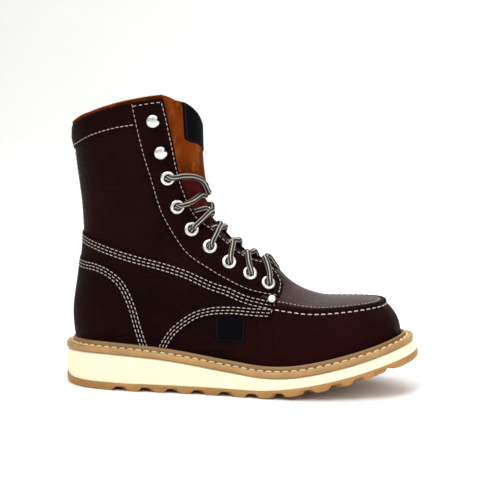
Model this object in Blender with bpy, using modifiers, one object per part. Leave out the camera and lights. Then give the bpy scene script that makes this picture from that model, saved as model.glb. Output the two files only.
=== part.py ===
"""Moc toe work boot for the right foot, standing empty on its wedge sole.

Sizes are millimetres: x runs forward from the back of the heel, y towards the inner
side of the foot, z up from the floor. Meshes are written in metres, with the origin
under the middle of the sole.
"""
import math
from collections import namedtuple

import bmesh
import bpy
import numpy as np
from mathutils import Vector
from mathutils.bvhtree import BVHTree

# Driving sizes
MM = 0.001
SOLE_LENGTH = 305.0
OUTSOLE_THICK = 6.0
WELT_THICK = 5.4
WELT_RIDGE = 4.1
TOE_SPRING = 30.0
SPRING_START = 170.0
SPRING_POWER = 1.65
HEEL_BEVEL = 14.0
HEEL_LIFT = 3.0
FIT_GAP = 0.3
LEATHER = 2.2
SKIRT = 2.0
PANEL = 1.2
CUFF = 1.7
SEAM_HEIGHT = 2.0
INSOLE_RISE = 2.5
INSOLE_PLAY = 1.8
TONGUE_THICK = 3.0
LACE_RADIUS = 2.2
LATERAL = -1
MEDIAL = 1
SIDES = {"lateral": LATERAL, "medial": MEDIAL}

# Half widths of the sole on its outer and inner side
Station = namedtuple("Station", "x outer inner")
SOLE_STATIONS = [
    Station(7, 25, 17),
    Station(22, 39, 29),
    Station(52, 47.5, 37),
    Station(92, 48.5, 36),
    Station(126, 49, 36.5),
    Station(156, 51.5, 43.3),
    Station(185, 55.3, 51),
    Station(206.5, 56.5, 55.5),
    Station(239, 52.7, 56.4),
    Station(265, 44.4, 51.7),
    Station(287.5, 31.3, 40.6),
    Station(300.7, 16.2, 21.8),
]
HEEL_TIP_Y = -4.5
TOE_TIP_Y = 1.0

# Height of the wedge midsole, and how far the upper stands in from the sole's edge
Wedge = namedtuple("Wedge", "x height")
WEDGE = [
    Wedge(0, 23.5),
    Wedge(30, 25),
    Wedge(60, 24.5),
    Wedge(95, 22),
    Wedge(150, 14.8),
    Wedge(200, 9.6),
    Wedge(250, 9.3),
    Wedge(305, 9.5),
]
Feather = namedtuple("Feather", "x inset")
FEATHER = [
    Feather(0, 6),
    Feather(20, 6.5),
    Feather(60, 8),
    Feather(220, 8.5),
    Feather(280, 11),
    Feather(305, 15),
]

# Sections of the last: each runs from a point on the front line (top_x, top_z) to the
# feather line at foot_x or, above the heel, to the back line (foot_x, foot_z), whose height
# before the heel only steadies the curve. mid is the centre line's y, widest
# how far down the section its half width lies, crown the power of its upper curve, gap half
# the throat, arch the rise of the collar over the ankle, plug_in and plug_drop the place of
# the moccasin seam.
Section = namedtuple(
    "Section", "top_x top_z foot_x foot_z mid outer inner widest crown gap arch plug_in plug_drop")
SECTIONS = [
    Section(243, 80, 243, 62, 0, 46, 46, .62, 3.0, 0, 0, 13, 6),
    Section(221, 82, 214, 62, -.2, 50, 50, .66, 2.8, 0, 0, 12, 9),
    Section(200, 91, 182, 62, -.7, 48, 45, .70, 2.4, 0, 0, 12, 17),
    Section(183, 103, 150, 62, -1.5, 43.5, 38, .73, 2.1, 0, 0, 12, 27),
    Section(165, 115, 115, 62, -2.6, 40.2, 33.6, .74, 2.0, 12, 0, 12, 30),
    Section(149.7, 128, 75, 62, -3.7, 38.4, 33.7, .70, 2.0, 13, 0, 12, 30),
    Section(138.8, 141, 38, 62, -4.3, 36.6, 34.2, .64, 2.0, 14, 0, 12, 30),
    Section(132.9, 150, 14, 62, -4.5, 35.3, 34.4, .59, 2.0, 16, 0, 12, 30),
    Section(128.9, 158, 6, 38.6, -4.5, 34.6, 34.4, .56, 2.0, 18, 0, 12, 30),
    Section(125.9, 169, 5.2, 62, -4.5, 34.5, 34.5, .53, 2.0, 20, 0, 12, 30),
    Section(123.4, 182, 9.3, 92, -4.5, 35.2, 35.2, .51, 2.0, 23, 1, 12, 30),
    Section(121.9, 197, 15.8, 122, -4.5, 36.5, 36.5, .50, 2.1, 27, 3, 12, 30),
    Section(121.4, 213, 15.8, 153, -4.5, 38.5, 38.5, .50, 2.1, 30, 5, 12, 30),
    Section(120.9, 229, 10.8, 188, -4.5, 40.5, 40.5, .50, 2.1, 33, 8, 12, 30),
    Section(119.9, 246, 5.8, 223, -4.5, 42.5, 42.5, .50, 2.1, 36, 11, 12, 30),
]
HEEL_ROW = 8.0
THROAT_ROW = 3.0
THROAT_FLARE = 0.6
WIDEST_ROUND = 0.6
SEAM_ROUND = 0.36
BULGE = 2.0
MOC_FADE = (2.2, 4.0)
WALL_BELLY = 1.0
WALL_BEND = 0.42

# Lines of the leather lattice: along the boot (toe fan below zero) and round each half
ROWS_ALONG = [-1, -.82, -.62, -.42, -.21, 0, .6, 1.2, 1.8, 2.4, 3, 3.12, 3.3, 3.6, 4, 4.6, 5.2, 5.8, 6.4,
              7, 7.5, 8, 8.9, 9.9, 11, 12, 13, 14]
LINES_ROUND = [0, .1, .2, .27, .333, .37, .405, .5, .6, .72, .86, 1]

# Edges of the sewn-on panels, seen from the side
Edge = namedtuple("Edge", "x z")
QUARTER_TOP = [
    Edge(-4, 136),
    Edge(24, 129.5),
    Edge(68, 117.3),
    Edge(116, 104),
    Edge(139, 94.4),
    Edge(150, 91),
    Edge(165, 84.6),
    Edge(192, 78.6),
]
QUARTER_ARCH = [
    Edge(189.5, 64.5),
    Edge(172, 65),
    Edge(152, 66.5),
    Edge(135.5, 65.3),
    Edge(124, 61.8),
    Edge(114.5, 55.5),
    Edge(105, 46.5),
    Edge(96, 32),
]
COUNTER_EDGE = [
    Edge(-4, 110.5),
    Edge(20, 109),
    Edge(39, 107.3),
    Edge(53, 101),
    Edge(63, 91.5),
    Edge(73.5, 69.3),
    Edge(77.5, 55.3),
    Edge(86, 30),
]
EYESTAY_REAR = [
    Edge(66, 262),
    Edge(69.5, 239),
    Edge(76.2, 205),
    Edge(82.8, 180),
    Edge(89.3, 154.5),
    Edge(96.3, 138.8),
    Edge(105.8, 123.4),
    Edge(132.2, 102.5),
    Edge(149.7, 92.9),
    Edge(164.8, 86.1),
    Edge(192.5, 79.6),
]
CUFF_EDGE = [
    Edge(-4, 196),
    Edge(14, 203),
    Edge(34, 213),
    Edge(54, 219.5),
    Edge(71.8, 223),
]
EYESTAY_FRONT_X = 193.0
EYESTAY_CENTRE = 9.0
PLUG_BACK_X = 193.4
PLUG_LINE = 0.33
SEAM_LINES = (0.336, 0.41)
PANEL_CLEAR = 0.45
FAR = 300.0
SIDE_TAG = (140.0, 165.0, 45.0, 64.0)

# Eyelets, hooks and rivets: the section they sit at and how far round it
Fixing = namedtuple("Fixing", "row round")
EYELETS = [
    Fixing(2.92, .217),
    Fixing(3.65, .180),
    Fixing(4.51, .140),
    Fixing(5.53, .135),
    Fixing(7.23, .110),
    Fixing(9.37, .127),
    Fixing(10.92, .165),
]
HOOKS = [Fixing(12.06, .207), Fixing(13.2, .233)]
RIVET = Fixing(2.52, .315)
EYELET_HOLE = 3.1
EYELET_OUTER = 6.1
EYELET_HEIGHT = 1.3
RIVET_RADIUS = 3.4
RIVET_HEIGHT = 1.5
HOOK_LENGTH = 10.0
HOOK_HEIGHT = 5.5
HOOK_PLATE = 1.1
HOOK_WIDTH = 8.0
SEAT_GAP = 0.2
PROBE = 12.0
ROUND_STEPS = 8

# Laces: height over the leather and the tongue, and how each cord starts and ends
LACE_LIFT = 4.7
LACE_REST = 1.0
LACE_START = 0.9
LACE_END = 0.68
LACE_DROP = (3.6, 4.4)
LACE_TOP = Fixing(11.3, .17)
LACE_STEPS = 7
LACE_SIDES = 5

# Lugs: zigzag grooves across the outsole, broken at a bare plaque under the arch
GROOVES_X = [57, 79.5, 102, 124.5, 147, 169.5, 193, 217, 239.5, 261, 281]
GROOVE_WIDTH = 6.0
GROOVE_DEPTH = 3.8
ZIGZAG_HEIGHT = 8.5
ZIGZAG_PERIOD = 26.0
PLAQUE_X = (120.0, 152.0)
PLAQUE_HALF = 24.0

# The tongue: rows it spans, how far it tucks under the eyestays, and its label
TONGUE_ROWS = (3.0, 13.55)
TONGUE_DIP = 0.75
TONGUE_TUCK = 8.0
TONGUE_PLAY = 1.7
TONGUE_CLEAR = 0.85
TONGUE_BOW = 0.75
TONGUE_RISE_ROWS = (3.4, 6.0)
TONGUE_STEPS = 13
LABEL_STEPS = (10, 13)
LABEL_ACROSS = 0.5
LABEL_THICK = 0.8


def ease(w):
    """Smooth step from 0 to 1."""
    w = np.clip(w, 0, 1)
    return w * w * (3 - 2 * w)


def through(table, x):
    """Smooth curve through a two-column table, read at x."""
    knots, values = np.array(table, float).T
    x = np.clip(x, knots[0], knots[-1])
    step = np.diff(knots)
    slope = np.diff(values) / step
    tangent = np.empty_like(values)
    tangent[1:-1] = (slope[:-1] * step[1:] + slope[1:] * step[:-1]) / (step[:-1] + step[1:])
    tangent[0] = 1.5 * slope[0] - 0.5 * tangent[1]
    tangent[-1] = 1.5 * slope[-1] - 0.5 * tangent[-2]
    k = np.clip(np.searchsorted(knots, x, side="right") - 1, 0, len(step) - 1)
    w = (x - knots[k]) / step[k]
    lead = w * (1 - w) ** 2 * tangent[k]
    trail = w * w * (1 - w) * tangent[k + 1]
    return values[k] + (values[k + 1] - values[k]) * ease(w) + (lead - trail) * step[k]


def smooth_path(points, count):
    """Points along a smooth open curve through a few given ones."""
    points = np.array(points, float)
    chord = np.concatenate([[0], np.cumsum(np.linalg.norm(np.diff(points, axis=0), axis=1))])
    reach = np.linspace(0, chord[-1], count)
    columns = [through(np.column_stack([chord, values]), reach) for values in points.T]
    return np.column_stack(columns)


def sole_outline(count):
    """Closed outline of the sole, from the heel's back along the outer side."""
    outer = [(row.x, -row.outer) for row in SOLE_STATIONS]
    inner = [(row.x, row.inner) for row in reversed(SOLE_STATIONS)]
    ring = [(0.0, HEEL_TIP_Y)] + outer + [(SOLE_LENGTH, TOE_TIP_Y)] + inner
    lap = ring[-3:] + ring + ring[:4]
    dense = smooth_path(lap, 60 * len(lap))
    first = np.argmin(np.linalg.norm(dense[: len(dense) // 2] - ring[0], axis=1))
    half = len(dense) // 2
    last = half + np.argmin(np.linalg.norm(dense[half:] - ring[0], axis=1))
    loop = dense[first:last + 1]
    reach = np.concatenate([[0], np.cumsum(np.linalg.norm(np.diff(loop, axis=0), axis=1))])
    at = np.linspace(0, reach[-1], count, endpoint=False)
    return np.column_stack([np.interp(at, reach, loop[:, i]) for i in range(2)])


OUTLINE = sole_outline(720)


def inset_outline(distance):
    """The sole's outline moved inwards by a distance, one value or one for each point."""
    along = np.roll(OUTLINE, -1, 0) - np.roll(OUTLINE, 1, 0)
    along /= np.linalg.norm(along, axis=1)[:, None]
    inward = np.column_stack([-along[:, 1], along[:, 0]])
    return OUTLINE + inward * np.broadcast_to(distance, len(OUTLINE))[:, None]


def feather_line(extra=0.0):
    """Outline where the leather meets the welt."""
    return inset_outline(through(FEATHER, OUTLINE[:, 0]) + extra)


def split_sides(outline):
    """Outer and inner half of an outline, each from its rear tip to its front tip."""
    rolled = np.roll(outline, -int(np.argmin(outline[:, 0])), axis=0)
    front = int(np.argmax(rolled[:, 0]))
    outer = rolled[:front + 1]
    inner = np.vstack([rolled[front:], rolled[:1]])[::-1]
    return {LATERAL: outer, MEDIAL: inner}


FEATHER_SIDES = split_sides(feather_line())
FEATHER_BACK = min(side[:, 0].min() for side in FEATHER_SIDES.values())


def ground(x):
    """Underside of the sole: flat, with the toe spring and a small heel bevel."""
    toe = np.clip((x - SPRING_START) / (SOLE_LENGTH - SPRING_START), 0, 1)
    heel = np.clip((HEEL_BEVEL - x) / HEEL_BEVEL, 0, 1)
    return TOE_SPRING * toe ** SPRING_POWER + HEEL_LIFT * heel ** 2


def wedge_top(x):
    return ground(x) + OUTSOLE_THICK + through(WEDGE, x)


def welt_top(x):
    return wedge_top(x) + WELT_THICK


def column(name, row):
    table = [(i, getattr(section, name)) for i, section in enumerate(SECTIONS)]
    return through(table, row)


def throat_gap(row):
    """Half width of the throat: a round-ended slot that widens to the collar."""
    return column("gap", row) * np.sqrt(np.clip((row - THROAT_ROW) / THROAT_FLARE, 0, 1))


def section_ends(side, s):
    """Ends of the section at s. Below zero, s turns round the toe."""
    row = np.clip(s, 0, None)
    turn = np.clip(-s, 0, 1) * math.pi / 2
    top_x = column("top_x", row)
    top_z = column("top_z", row)
    foot_x = column("foot_x", row)
    on_feather = row < HEEL_ROW
    foot_x = np.where(on_feather, np.maximum(foot_x, FEATHER_BACK), foot_x)
    half = FEATHER_SIDES[side]
    half_y = np.interp(foot_x, half[:, 0], half[:, 1]) - column("mid", row)
    reach = np.where(on_feather, np.clip(side * half_y, 0, None), 0)
    fan_x = half[:, 0] - SECTIONS[0].top_x
    ahead = fan_x > -10
    bearing = np.arctan2(fan_x[ahead], np.abs(half[ahead, 1]))
    radius = np.interp(turn, bearing, np.hypot(fan_x[ahead], half[ahead, 1]))
    reach = np.where(s < 0, radius, reach)
    fan_z = welt_top(SECTIONS[0].top_x + radius * np.sin(turn))
    foot_z = np.where(on_feather, welt_top(foot_x), column("foot_z", row))
    foot_z = np.where(s < 0, fan_z, foot_z) + np.where(on_feather, FIT_GAP + SKIRT, 0)
    return row, turn, top_x, top_z, foot_x, foot_z, reach


def widest_half(side, row, reach):
    """Greatest half width of a section: a little over the feather line, or from the table."""
    table = column("outer" if side == LATERAL else "inner", row)
    belly = reach + BULGE
    return belly + (table - belly) * ease(row - THROAT_ROW)


def last_point(side, s, t):
    """Outside of the leather at section s, t of the way from its top to its foot.

    A section is a superellipse from the front line out to its widest place, and below that
    an ellipse that stands on the welt or closes at the back. Over the forepart it is instead
    a low crowned plug, a seam, and a wall that leans out to the welt.
    """
    s, t = np.broadcast_arrays(np.asarray(s, float), np.asarray(t, float))
    row, turn, top_x, top_z, foot_x, foot_z, reach = section_ends(side, s)
    wide = widest_half(side, row, reach)
    widest = column("widest", row)
    crown = 2 / column("crown", row)
    opening = np.clip(throat_gap(row) / np.maximum(wide, 1), 0, .98)
    start = np.arcsin(opening ** (1 / crown))
    upper = t < WIDEST_ROUND
    high = start + (math.pi / 2 - start) * np.clip(t / WIDEST_ROUND, 0, 1)
    low = np.clip((t - WIDEST_ROUND) / (1 - WIDEST_ROUND), 0, 1)
    end = np.arccos(np.clip(reach / wide, 0, .999))
    low_down = widest + (1 - widest) * np.sin(low * end) / np.sin(end)
    down = np.where(upper, widest * (1 - np.cos(high) ** crown), low_down)
    out = np.where(upper, wide * np.sin(high) ** crown, wide * np.cos(low * end))
    front = np.clip(-s, 0, 1)
    seam_out = reach - column("plug_in", row) - 2 * front ** 2
    seam_down = (column("plug_drop", row) - 3 * front) / np.maximum(top_z - foot_z, 1)
    p = np.clip((t - SEAM_ROUND) / (1 - SEAM_ROUND), 0, 1)
    u = np.clip(t / SEAM_ROUND, 0, 1)
    wall_out = (1 - p) ** 2 * seam_out + 2 * p * (1 - p) * (reach + WALL_BELLY) + p * p * reach
    wall_down = (1 - p) ** 2 * seam_down + 2 * p * (1 - p) * WALL_BEND + p * p
    plug = t < SEAM_ROUND
    moc_out = np.where(plug, seam_out * u, wall_out)
    moc_down = np.where(plug, seam_down * u ** 2, wall_down)
    fade = 1 - ease((row - MOC_FADE[0]) / (MOC_FADE[1] - MOC_FADE[0]))
    out = out + (moc_out - out) * fade
    down = down + (moc_down - down) * fade
    sweep = np.where(upper, high, math.pi / 2 * (1 + low))
    rise = column("arch", row) * np.clip(np.sin(sweep), 0, 1) ** 1.2
    x = top_x + (foot_x - top_x) * down + np.where(s < 0, np.sin(turn), 0) * out
    y = column("mid", row) + side * np.where(s < 0, np.cos(turn), 1) * out
    z = top_z + (foot_z - top_z) * down + rise
    return np.stack([x, y, z], -1)


def last_normal(side, s, t, step=0.004):
    """Outward direction of the leather at one place."""
    along = last_point(side, s + step, t) - last_point(side, s - step, t)
    round_ = last_point(side, s, t + step) - last_point(side, s, t - step)
    normal = np.cross(round_, along) * side
    return normal / np.linalg.norm(normal)


def throat_angle(side, s, extra=0.0):
    """Angle round the front of a section at which the throat ends, or a little past it."""
    row, *_, reach = section_ends(side, s)
    half = (throat_gap(row) + extra) / widest_half(side, row, reach)
    return np.arcsin(np.clip(half, 0, .97) ** (column("crown", row) / 2))


def front_point(side, s, angle, inset):
    """Place on the round front of a section before the throat is cut, at a depth below it."""
    row, _, top_x, top_z, foot_x, foot_z, reach = section_ends(side, s)
    widest = column("widest", row)
    crown = 2 / column("crown", row)
    length = np.hypot(foot_x - top_x, foot_z - top_z)
    out = (widest_half(side, row, reach) - inset) * np.sin(angle) ** crown
    down = widest - (widest - inset / length) * np.cos(angle) ** crown
    y = column("mid", row) + side * out
    return np.stack([top_x + (foot_x - top_x) * down, y, top_z + (foot_z - top_z) * down], -1)


def tongue_inset(s, angle, edge):
    """Depth of the tongue's face: its middle bows out to the front line, its edges tuck in."""
    bow = np.clip((s - TONGUE_RISE_ROWS[0]) / (TONGUE_RISE_ROWS[1] - TONGUE_RISE_ROWS[0]), 0, 1)
    clear = np.clip(1 - (angle / np.maximum(TONGUE_CLEAR * edge, .01)) ** 2, 0, 1)
    return (LEATHER + TONGUE_PLAY) * (1 - TONGUE_BOW * bow * clear ** .7)


def tongue_point(s, across, depth):
    """Tongue across the throat: across runs from -1 at its outer edge to 1 at its inner edge."""
    s, across = np.broadcast_arrays(np.asarray(s, float), np.asarray(across, float))
    halves = []
    for side in (LATERAL, MEDIAL):
        angle = throat_angle(side, s, TONGUE_TUCK) * np.abs(across)
        inset = tongue_inset(s, angle, throat_angle(side, s)) + depth
        halves.append(front_point(side, s, angle, inset))
    return np.where((across < 0)[..., None], *halves)


def to_metres(points):
    return (np.asarray(points, float) - (SOLE_LENGTH / 2, 0, 0)) * MM


def start_scene():
    for obj in list(bpy.data.objects):
        bpy.data.objects.remove(obj, do_unlink=True)
    groups = []
    for name in ("moc_toe_work_boot", "cutters"):
        group = bpy.data.collections.new(name)
        bpy.context.scene.collection.children.link(group)
        groups.append(group)
    return groups


PARTS, CUTTERS = start_scene()


def material(name, colour, roughness, metallic=0.0):
    made = bpy.data.materials.new(name)
    made.use_nodes = True
    shader = made.node_tree.nodes["Principled BSDF"]
    shader.inputs["Base Color"].default_value = (*colour, 1.0)
    shader.inputs["Roughness"].default_value = roughness
    shader.inputs["Metallic"].default_value = metallic
    return made


GUM = material("gum_rubber", (0.42, 0.20, 0.06), 0.7)
CREAM = material("cream_foam", (0.85, 0.80, 0.62), 0.65)
WELT_LEATHER = material("tan_welt_leather", (0.40, 0.20, 0.07), 0.55)
BROWN = material("dark_brown_leather", (0.030, 0.012, 0.011), 0.45)
VAMP_BROWN = material("burgundy_leather", (0.045, 0.015, 0.013), 0.4)
SUEDE = material("rust_suede", (0.28, 0.08, 0.015), 0.95)
BOARD = material("insole_leather", (0.45, 0.27, 0.13), 0.8)
NICKEL = material("nickel", (0.75, 0.74, 0.72), 0.3, 1.0)
CORD = material("lace_cord", (0.45, 0.38, 0.26), 0.85)
NAVY = material("navy_cloth", (0.012, 0.013, 0.03), 0.8)


def add_object(name, mesh, finish, group=None):
    obj = bpy.data.objects.new(name, mesh)
    (group or PARTS).objects.link(obj)
    if finish:
        mesh.materials.append(finish)
    if group is CUTTERS:
        obj.hide_render = True
        obj.display_type = "WIRE"
    return obj


def mesh_from_faces(name, points, faces, merge=0.02, solid=True):
    """Mesh of points in millimetres, with coinciding ones merged; a solid faces outwards."""
    mesh = bpy.data.meshes.new(name)
    mesh.from_pydata([tuple(p) for p in to_metres(points)], [], faces)
    work = bmesh.new()
    work.from_mesh(mesh)
    bmesh.ops.remove_doubles(work, verts=work.verts, dist=merge * MM)
    bmesh.ops.dissolve_degenerate(work, edges=work.edges, dist=merge * MM)
    if solid:
        bmesh.ops.recalc_face_normals(work, faces=work.faces)
    work.to_mesh(mesh)
    work.free()
    return mesh


def grid_faces(rows, columns, first=0, flip=False, closed=False):
    """Quads of a grid of points, optionally joined from its last column to its first."""
    faces = []
    span = columns if closed else columns - 1
    for i in range(rows - 1):
        for j in range(span):
            a = first + i * columns + j
            b = first + i * columns + (j + 1) % columns
            quad = (a, b, b + columns, a + columns)
            faces.append(quad[::-1] if flip else quad)
    return faces


def plate(name, outline, bottom, top, stations, finish):
    """Solid between two heights over x, filled across the outline station by station."""
    halves = split_sides(outline)
    low_x = outline[:, 0].min()
    high_x = outline[:, 0].max()
    xs = low_x + (high_x - low_x) * (1 - np.cos(np.linspace(0, math.pi, stations))) / 2
    edges = [np.interp(xs, halves[side][:, 0], halves[side][:, 1]) for side in (LATERAL, MEDIAL)]
    corners = [(edges[0], bottom(xs)), (edges[1], bottom(xs)), (edges[1], top(xs)), (edges[0], top(xs))]
    points = np.stack([np.column_stack([xs, y, z]) for y, z in corners], 1).reshape(-1, 3)
    mesh = mesh_from_faces(name, points, grid_faces(stations, 4, closed=True))
    return add_object(name, mesh, finish)


def ring_sweep(name, profile, count, finish):
    """Solid ring: profile gives an outline and its heights for each corner of the section."""
    pick = np.linspace(0, len(OUTLINE), count, endpoint=False).astype(int)
    corners = [np.column_stack([outline[pick], height(outline[pick, 0])]) for outline, height in profile]
    points = np.concatenate(corners)
    faces = grid_faces(len(profile), count, closed=True)
    last = (len(profile) - 1) * count
    for j in range(count):
        k = (j + 1) % count
        faces.append((last + j, last + k, k, j))
    return add_object(name, mesh_from_faces(name, points, faces), finish)


def prism(name, outline, plane, low, high):
    """Cutter: a flat outline carried from low to high along y (plane xz) or z (plane xy)."""
    outline = np.asarray(outline, float)
    ends = []
    for depth in (low, high):
        flat = np.full(len(outline), float(depth))
        first, second = outline.T
        ends.append(np.column_stack((first, flat, second) if plane == "xz" else (first, second, flat)))
    count = len(outline)
    faces = grid_faces(2, count, closed=True)
    faces += [tuple(range(count))[::-1], tuple(range(count, 2 * count))]
    return add_object(name, mesh_from_faces(name, np.concatenate(ends), faces), None, CUTTERS)


def moved(edge, distance):
    """A side-view edge shifted to its left by a distance."""
    along = np.gradient(edge, axis=0)
    along /= np.linalg.norm(along, axis=1)[:, None]
    return edge + np.column_stack([-along[:, 1], along[:, 0]]) * distance


def boolean(obj, cutter, operation):
    change = obj.modifiers.new(operation.lower() + "_" + cutter.name, "BOOLEAN")
    change.operation = operation
    change.object = cutter
    change.solver = "EXACT"
    return change


def baked(obj):
    """Replaces an object's mesh by its evaluated one, without modifiers."""
    bpy.context.view_layer.update()
    evaluated = obj.evaluated_get(bpy.context.evaluated_depsgraph_get())
    mesh = bpy.data.meshes.new_from_object(evaluated)
    obj.modifiers.clear()
    obj.data = mesh
    return mesh


def lattice(name, rows, lines, sides=(LATERAL, MEDIAL), lift=0.0, skirt=False):
    """Open sheet over part of the leather lattice, lifted off it along its normals.

    With a skirt, the sheet ends upright where it reaches the welt.
    """
    points = []
    faces = []
    count = 0
    on_feather = [row for row in rows if row <= HEEL_ROW]
    for side in sides:
        grid_s, grid_t = np.meshgrid(rows, lines, indexing="ij")
        sheet = last_point(side, grid_s, grid_t)
        faces += grid_faces(len(rows), len(lines), count, flip=side == LATERAL)
        points.append(sheet.reshape(-1, 3))
        count += grid_s.size
        if skirt:
            foot = sheet[:len(on_feather), -1]
            upright = np.stack([foot, foot - (0, 0, SKIRT)], 1)
            faces += grid_faces(len(on_feather), 2, count, flip=side == LATERAL)
            points.append(upright.reshape(-1, 3))
            count += 2 * len(on_feather)
    mesh = mesh_from_faces(name, np.concatenate(points), faces, merge=0.05, solid=False)
    work = bmesh.new()
    work.from_mesh(mesh)
    bmesh.ops.triangulate(work, faces=work.faces, quad_method="BEAUTY")
    work.normal_update()
    for vert in work.verts:
        vert.co += vert.normal * (lift * MM)
    work.to_mesh(mesh)
    work.free()
    mesh.shade_smooth()
    return mesh


def thicken(obj, thickness, outward):
    wall = obj.modifiers.new("wall", "SOLIDIFY")
    wall.thickness = thickness * MM
    wall.offset = 1.0 if outward else -1.0
    wall.use_even_offset = not outward
    wall.use_rim = True
    return wall


def panel(name, thickness, finish, cutters, drops=(), rows=None, lines=None, sides=(LATERAL, MEDIAL)):
    """Sewn-on layer: a sheet just outside the leather, kept inside each cutter."""
    mesh = lattice(name, rows or ROWS_ALONG, lines or LINES_ROUND, sides, lift=FIT_GAP)
    obj = add_object(name, mesh, finish)
    thicken(obj, thickness, outward=True)
    for cutter in cutters:
        boolean(obj, cutter, "INTERSECT")
    for cutter in drops:
        boolean(obj, cutter, "DIFFERENCE")
    return obj


def zigzag_groove(centre, low, high):
    """Outline of one groove, a band that zigzags across the sole."""
    steps = np.arange(low, high + 0.1, ZIGZAG_PERIOD / 4)
    wave = np.abs((steps / ZIGZAG_PERIOD) % 1 * 2 - 1) - 0.5
    middle = centre + wave * ZIGZAG_HEIGHT
    rear = np.column_stack([middle - GROOVE_WIDTH / 2, steps])
    front = np.column_stack([middle + GROOVE_WIDTH / 2, steps])
    corner = np.isclose(np.abs(wave), 0.5) | np.isin(np.arange(len(steps)), (0, len(steps) - 1))
    return np.vstack([rear[corner], front[corner][::-1]])


def make_outsole():
    """Gum rubber plate, cut flat with its grooves and then bent up to the toe spring."""
    side = 65.0
    plate("outsole", OUTLINE, lambda x: 0 * x, lambda x: 0 * x + OUTSOLE_THICK, 33, GUM)
    sole = bpy.data.objects["outsole"]
    for i, x in enumerate(GROOVES_X):
        spans = [(-side, side)]
        if PLAQUE_X[0] < x < PLAQUE_X[1]:
            spans = [(-side, -PLAQUE_HALF), (PLAQUE_HALF, side)]
        for j, (low, high) in enumerate(spans):
            outline = zigzag_groove(x, low, high)
            cutter = prism(f"groove_{i}_{j}", outline, "xy", -GROOVE_DEPTH, GROOVE_DEPTH)
            boolean(sole, cutter, "DIFFERENCE")
    work = bmesh.new()
    work.from_mesh(baked(sole))
    bmesh.ops.triangulate(work, faces=work.faces)
    for vert in work.verts:
        vert.co.z += float(ground(vert.co.x / MM + SOLE_LENGTH / 2)) * MM
    work.to_mesh(sole.data)
    work.free()


def make_sole_stack():
    plate("midsole", inset_outline(0.8), lambda x: ground(x) + OUTSOLE_THICK + FIT_GAP, wedge_top, 33, CREAM)
    rim = [
        (inset_outline(0.0), lambda x: wedge_top(x) + FIT_GAP),
        (inset_outline(0.0), welt_top),
        (feather_line(-4.2), welt_top),
        (feather_line(-3.7), lambda x: welt_top(x) + WELT_RIDGE),
        (feather_line(-2.0), lambda x: welt_top(x) + WELT_RIDGE),
        (feather_line(-0.9), welt_top),
        (feather_line(LEATHER), welt_top),
        (feather_line(LEATHER), lambda x: wedge_top(x) + FIT_GAP),
    ]
    ring_sweep("welt", rim, 60, WELT_LEATHER)
    plate("insole", feather_line(LEATHER + INSOLE_PLAY), lambda x: wedge_top(x) + FIT_GAP,
          lambda x: welt_top(x) + INSOLE_RISE, 25, BOARD)


def make_upper():
    upper = add_object("upper", lattice("upper", ROWS_ALONG, LINES_ROUND, skirt=True), BROWN)
    thicken(upper, LEATHER, outward=False)


def make_tongue():
    """Suede tongue as a closed slab: outer face, inner face and its edges, with a label."""
    rows = np.linspace(*TONGUE_ROWS, TONGUE_STEPS)
    across = np.linspace(-1, 1, 9)
    add_object("tongue", tongue_slab(rows, across, 0.0, TONGUE_THICK), SUEDE)
    near_top = rows[LABEL_STEPS[0]:LABEL_STEPS[1]]
    middle = across[np.abs(across) <= LABEL_ACROSS]
    label = tongue_slab(near_top, middle, -FIT_GAP - LABEL_THICK, -FIT_GAP)
    add_object("tongue_label", label, NAVY)


def tongue_slab(along, across, outer, inner):
    """Closed mesh between two depths of the tongue; its upper edge dips in the middle."""
    grid_s, grid_a = np.meshgrid(along, across, indexing="ij")
    height = (grid_s - TONGUE_ROWS[0]) / (TONGUE_ROWS[1] - TONGUE_ROWS[0])
    grid_s = grid_s - TONGUE_DIP * height ** 4 * (1 - grid_a ** 2)
    rows, count = grid_s.shape
    front = tongue_point(grid_s, grid_a, outer).reshape(-1, 3)
    back = tongue_point(grid_s, grid_a, inner).reshape(-1, 3)
    faces = grid_faces(rows, count)
    faces += grid_faces(rows, count, first=rows * count, flip=True)
    border = list(range(count))
    border += [i * count + count - 1 for i in range(1, rows)]
    border += [(rows - 1) * count + j for j in range(count - 2, -1, -1)]
    border += [i * count for i in range(rows - 2, 0, -1)]
    for a, b in zip(border, border[1:] + border[:1]):
        faces.append((b, a, a + rows * count, b + rows * count))
    mesh = mesh_from_faces("tongue", np.concatenate([front, back]), faces)
    mesh.shade_smooth()
    return mesh


def make_toe_panels():
    """Plug over the toes and the raised seam round it, both ending at the eyestays."""
    front = [(PLUG_BACK_X, 0), (SOLE_LENGTH, 0), (SOLE_LENGTH, FAR), (PLUG_BACK_X, FAR)]
    ahead = prism("ahead_of_eyestays", front, "xz", -FAR, FAR)
    rows = [row for row in ROWS_ALONG if row <= THROAT_ROW]
    plug_lines = [line for line in LINES_ROUND if line < PLUG_LINE] + [PLUG_LINE]
    seam_lines = [SEAM_LINES[0]] + [line for line in LINES_ROUND if SEAM_LINES[0] < line <= SEAM_LINES[1]]
    panel("plug", PANEL, VAMP_BROWN, [ahead], rows=rows, lines=plug_lines)
    panel("moc_seam", SEAM_HEIGHT, BROWN, [ahead], rows=rows, lines=seam_lines)


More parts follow.
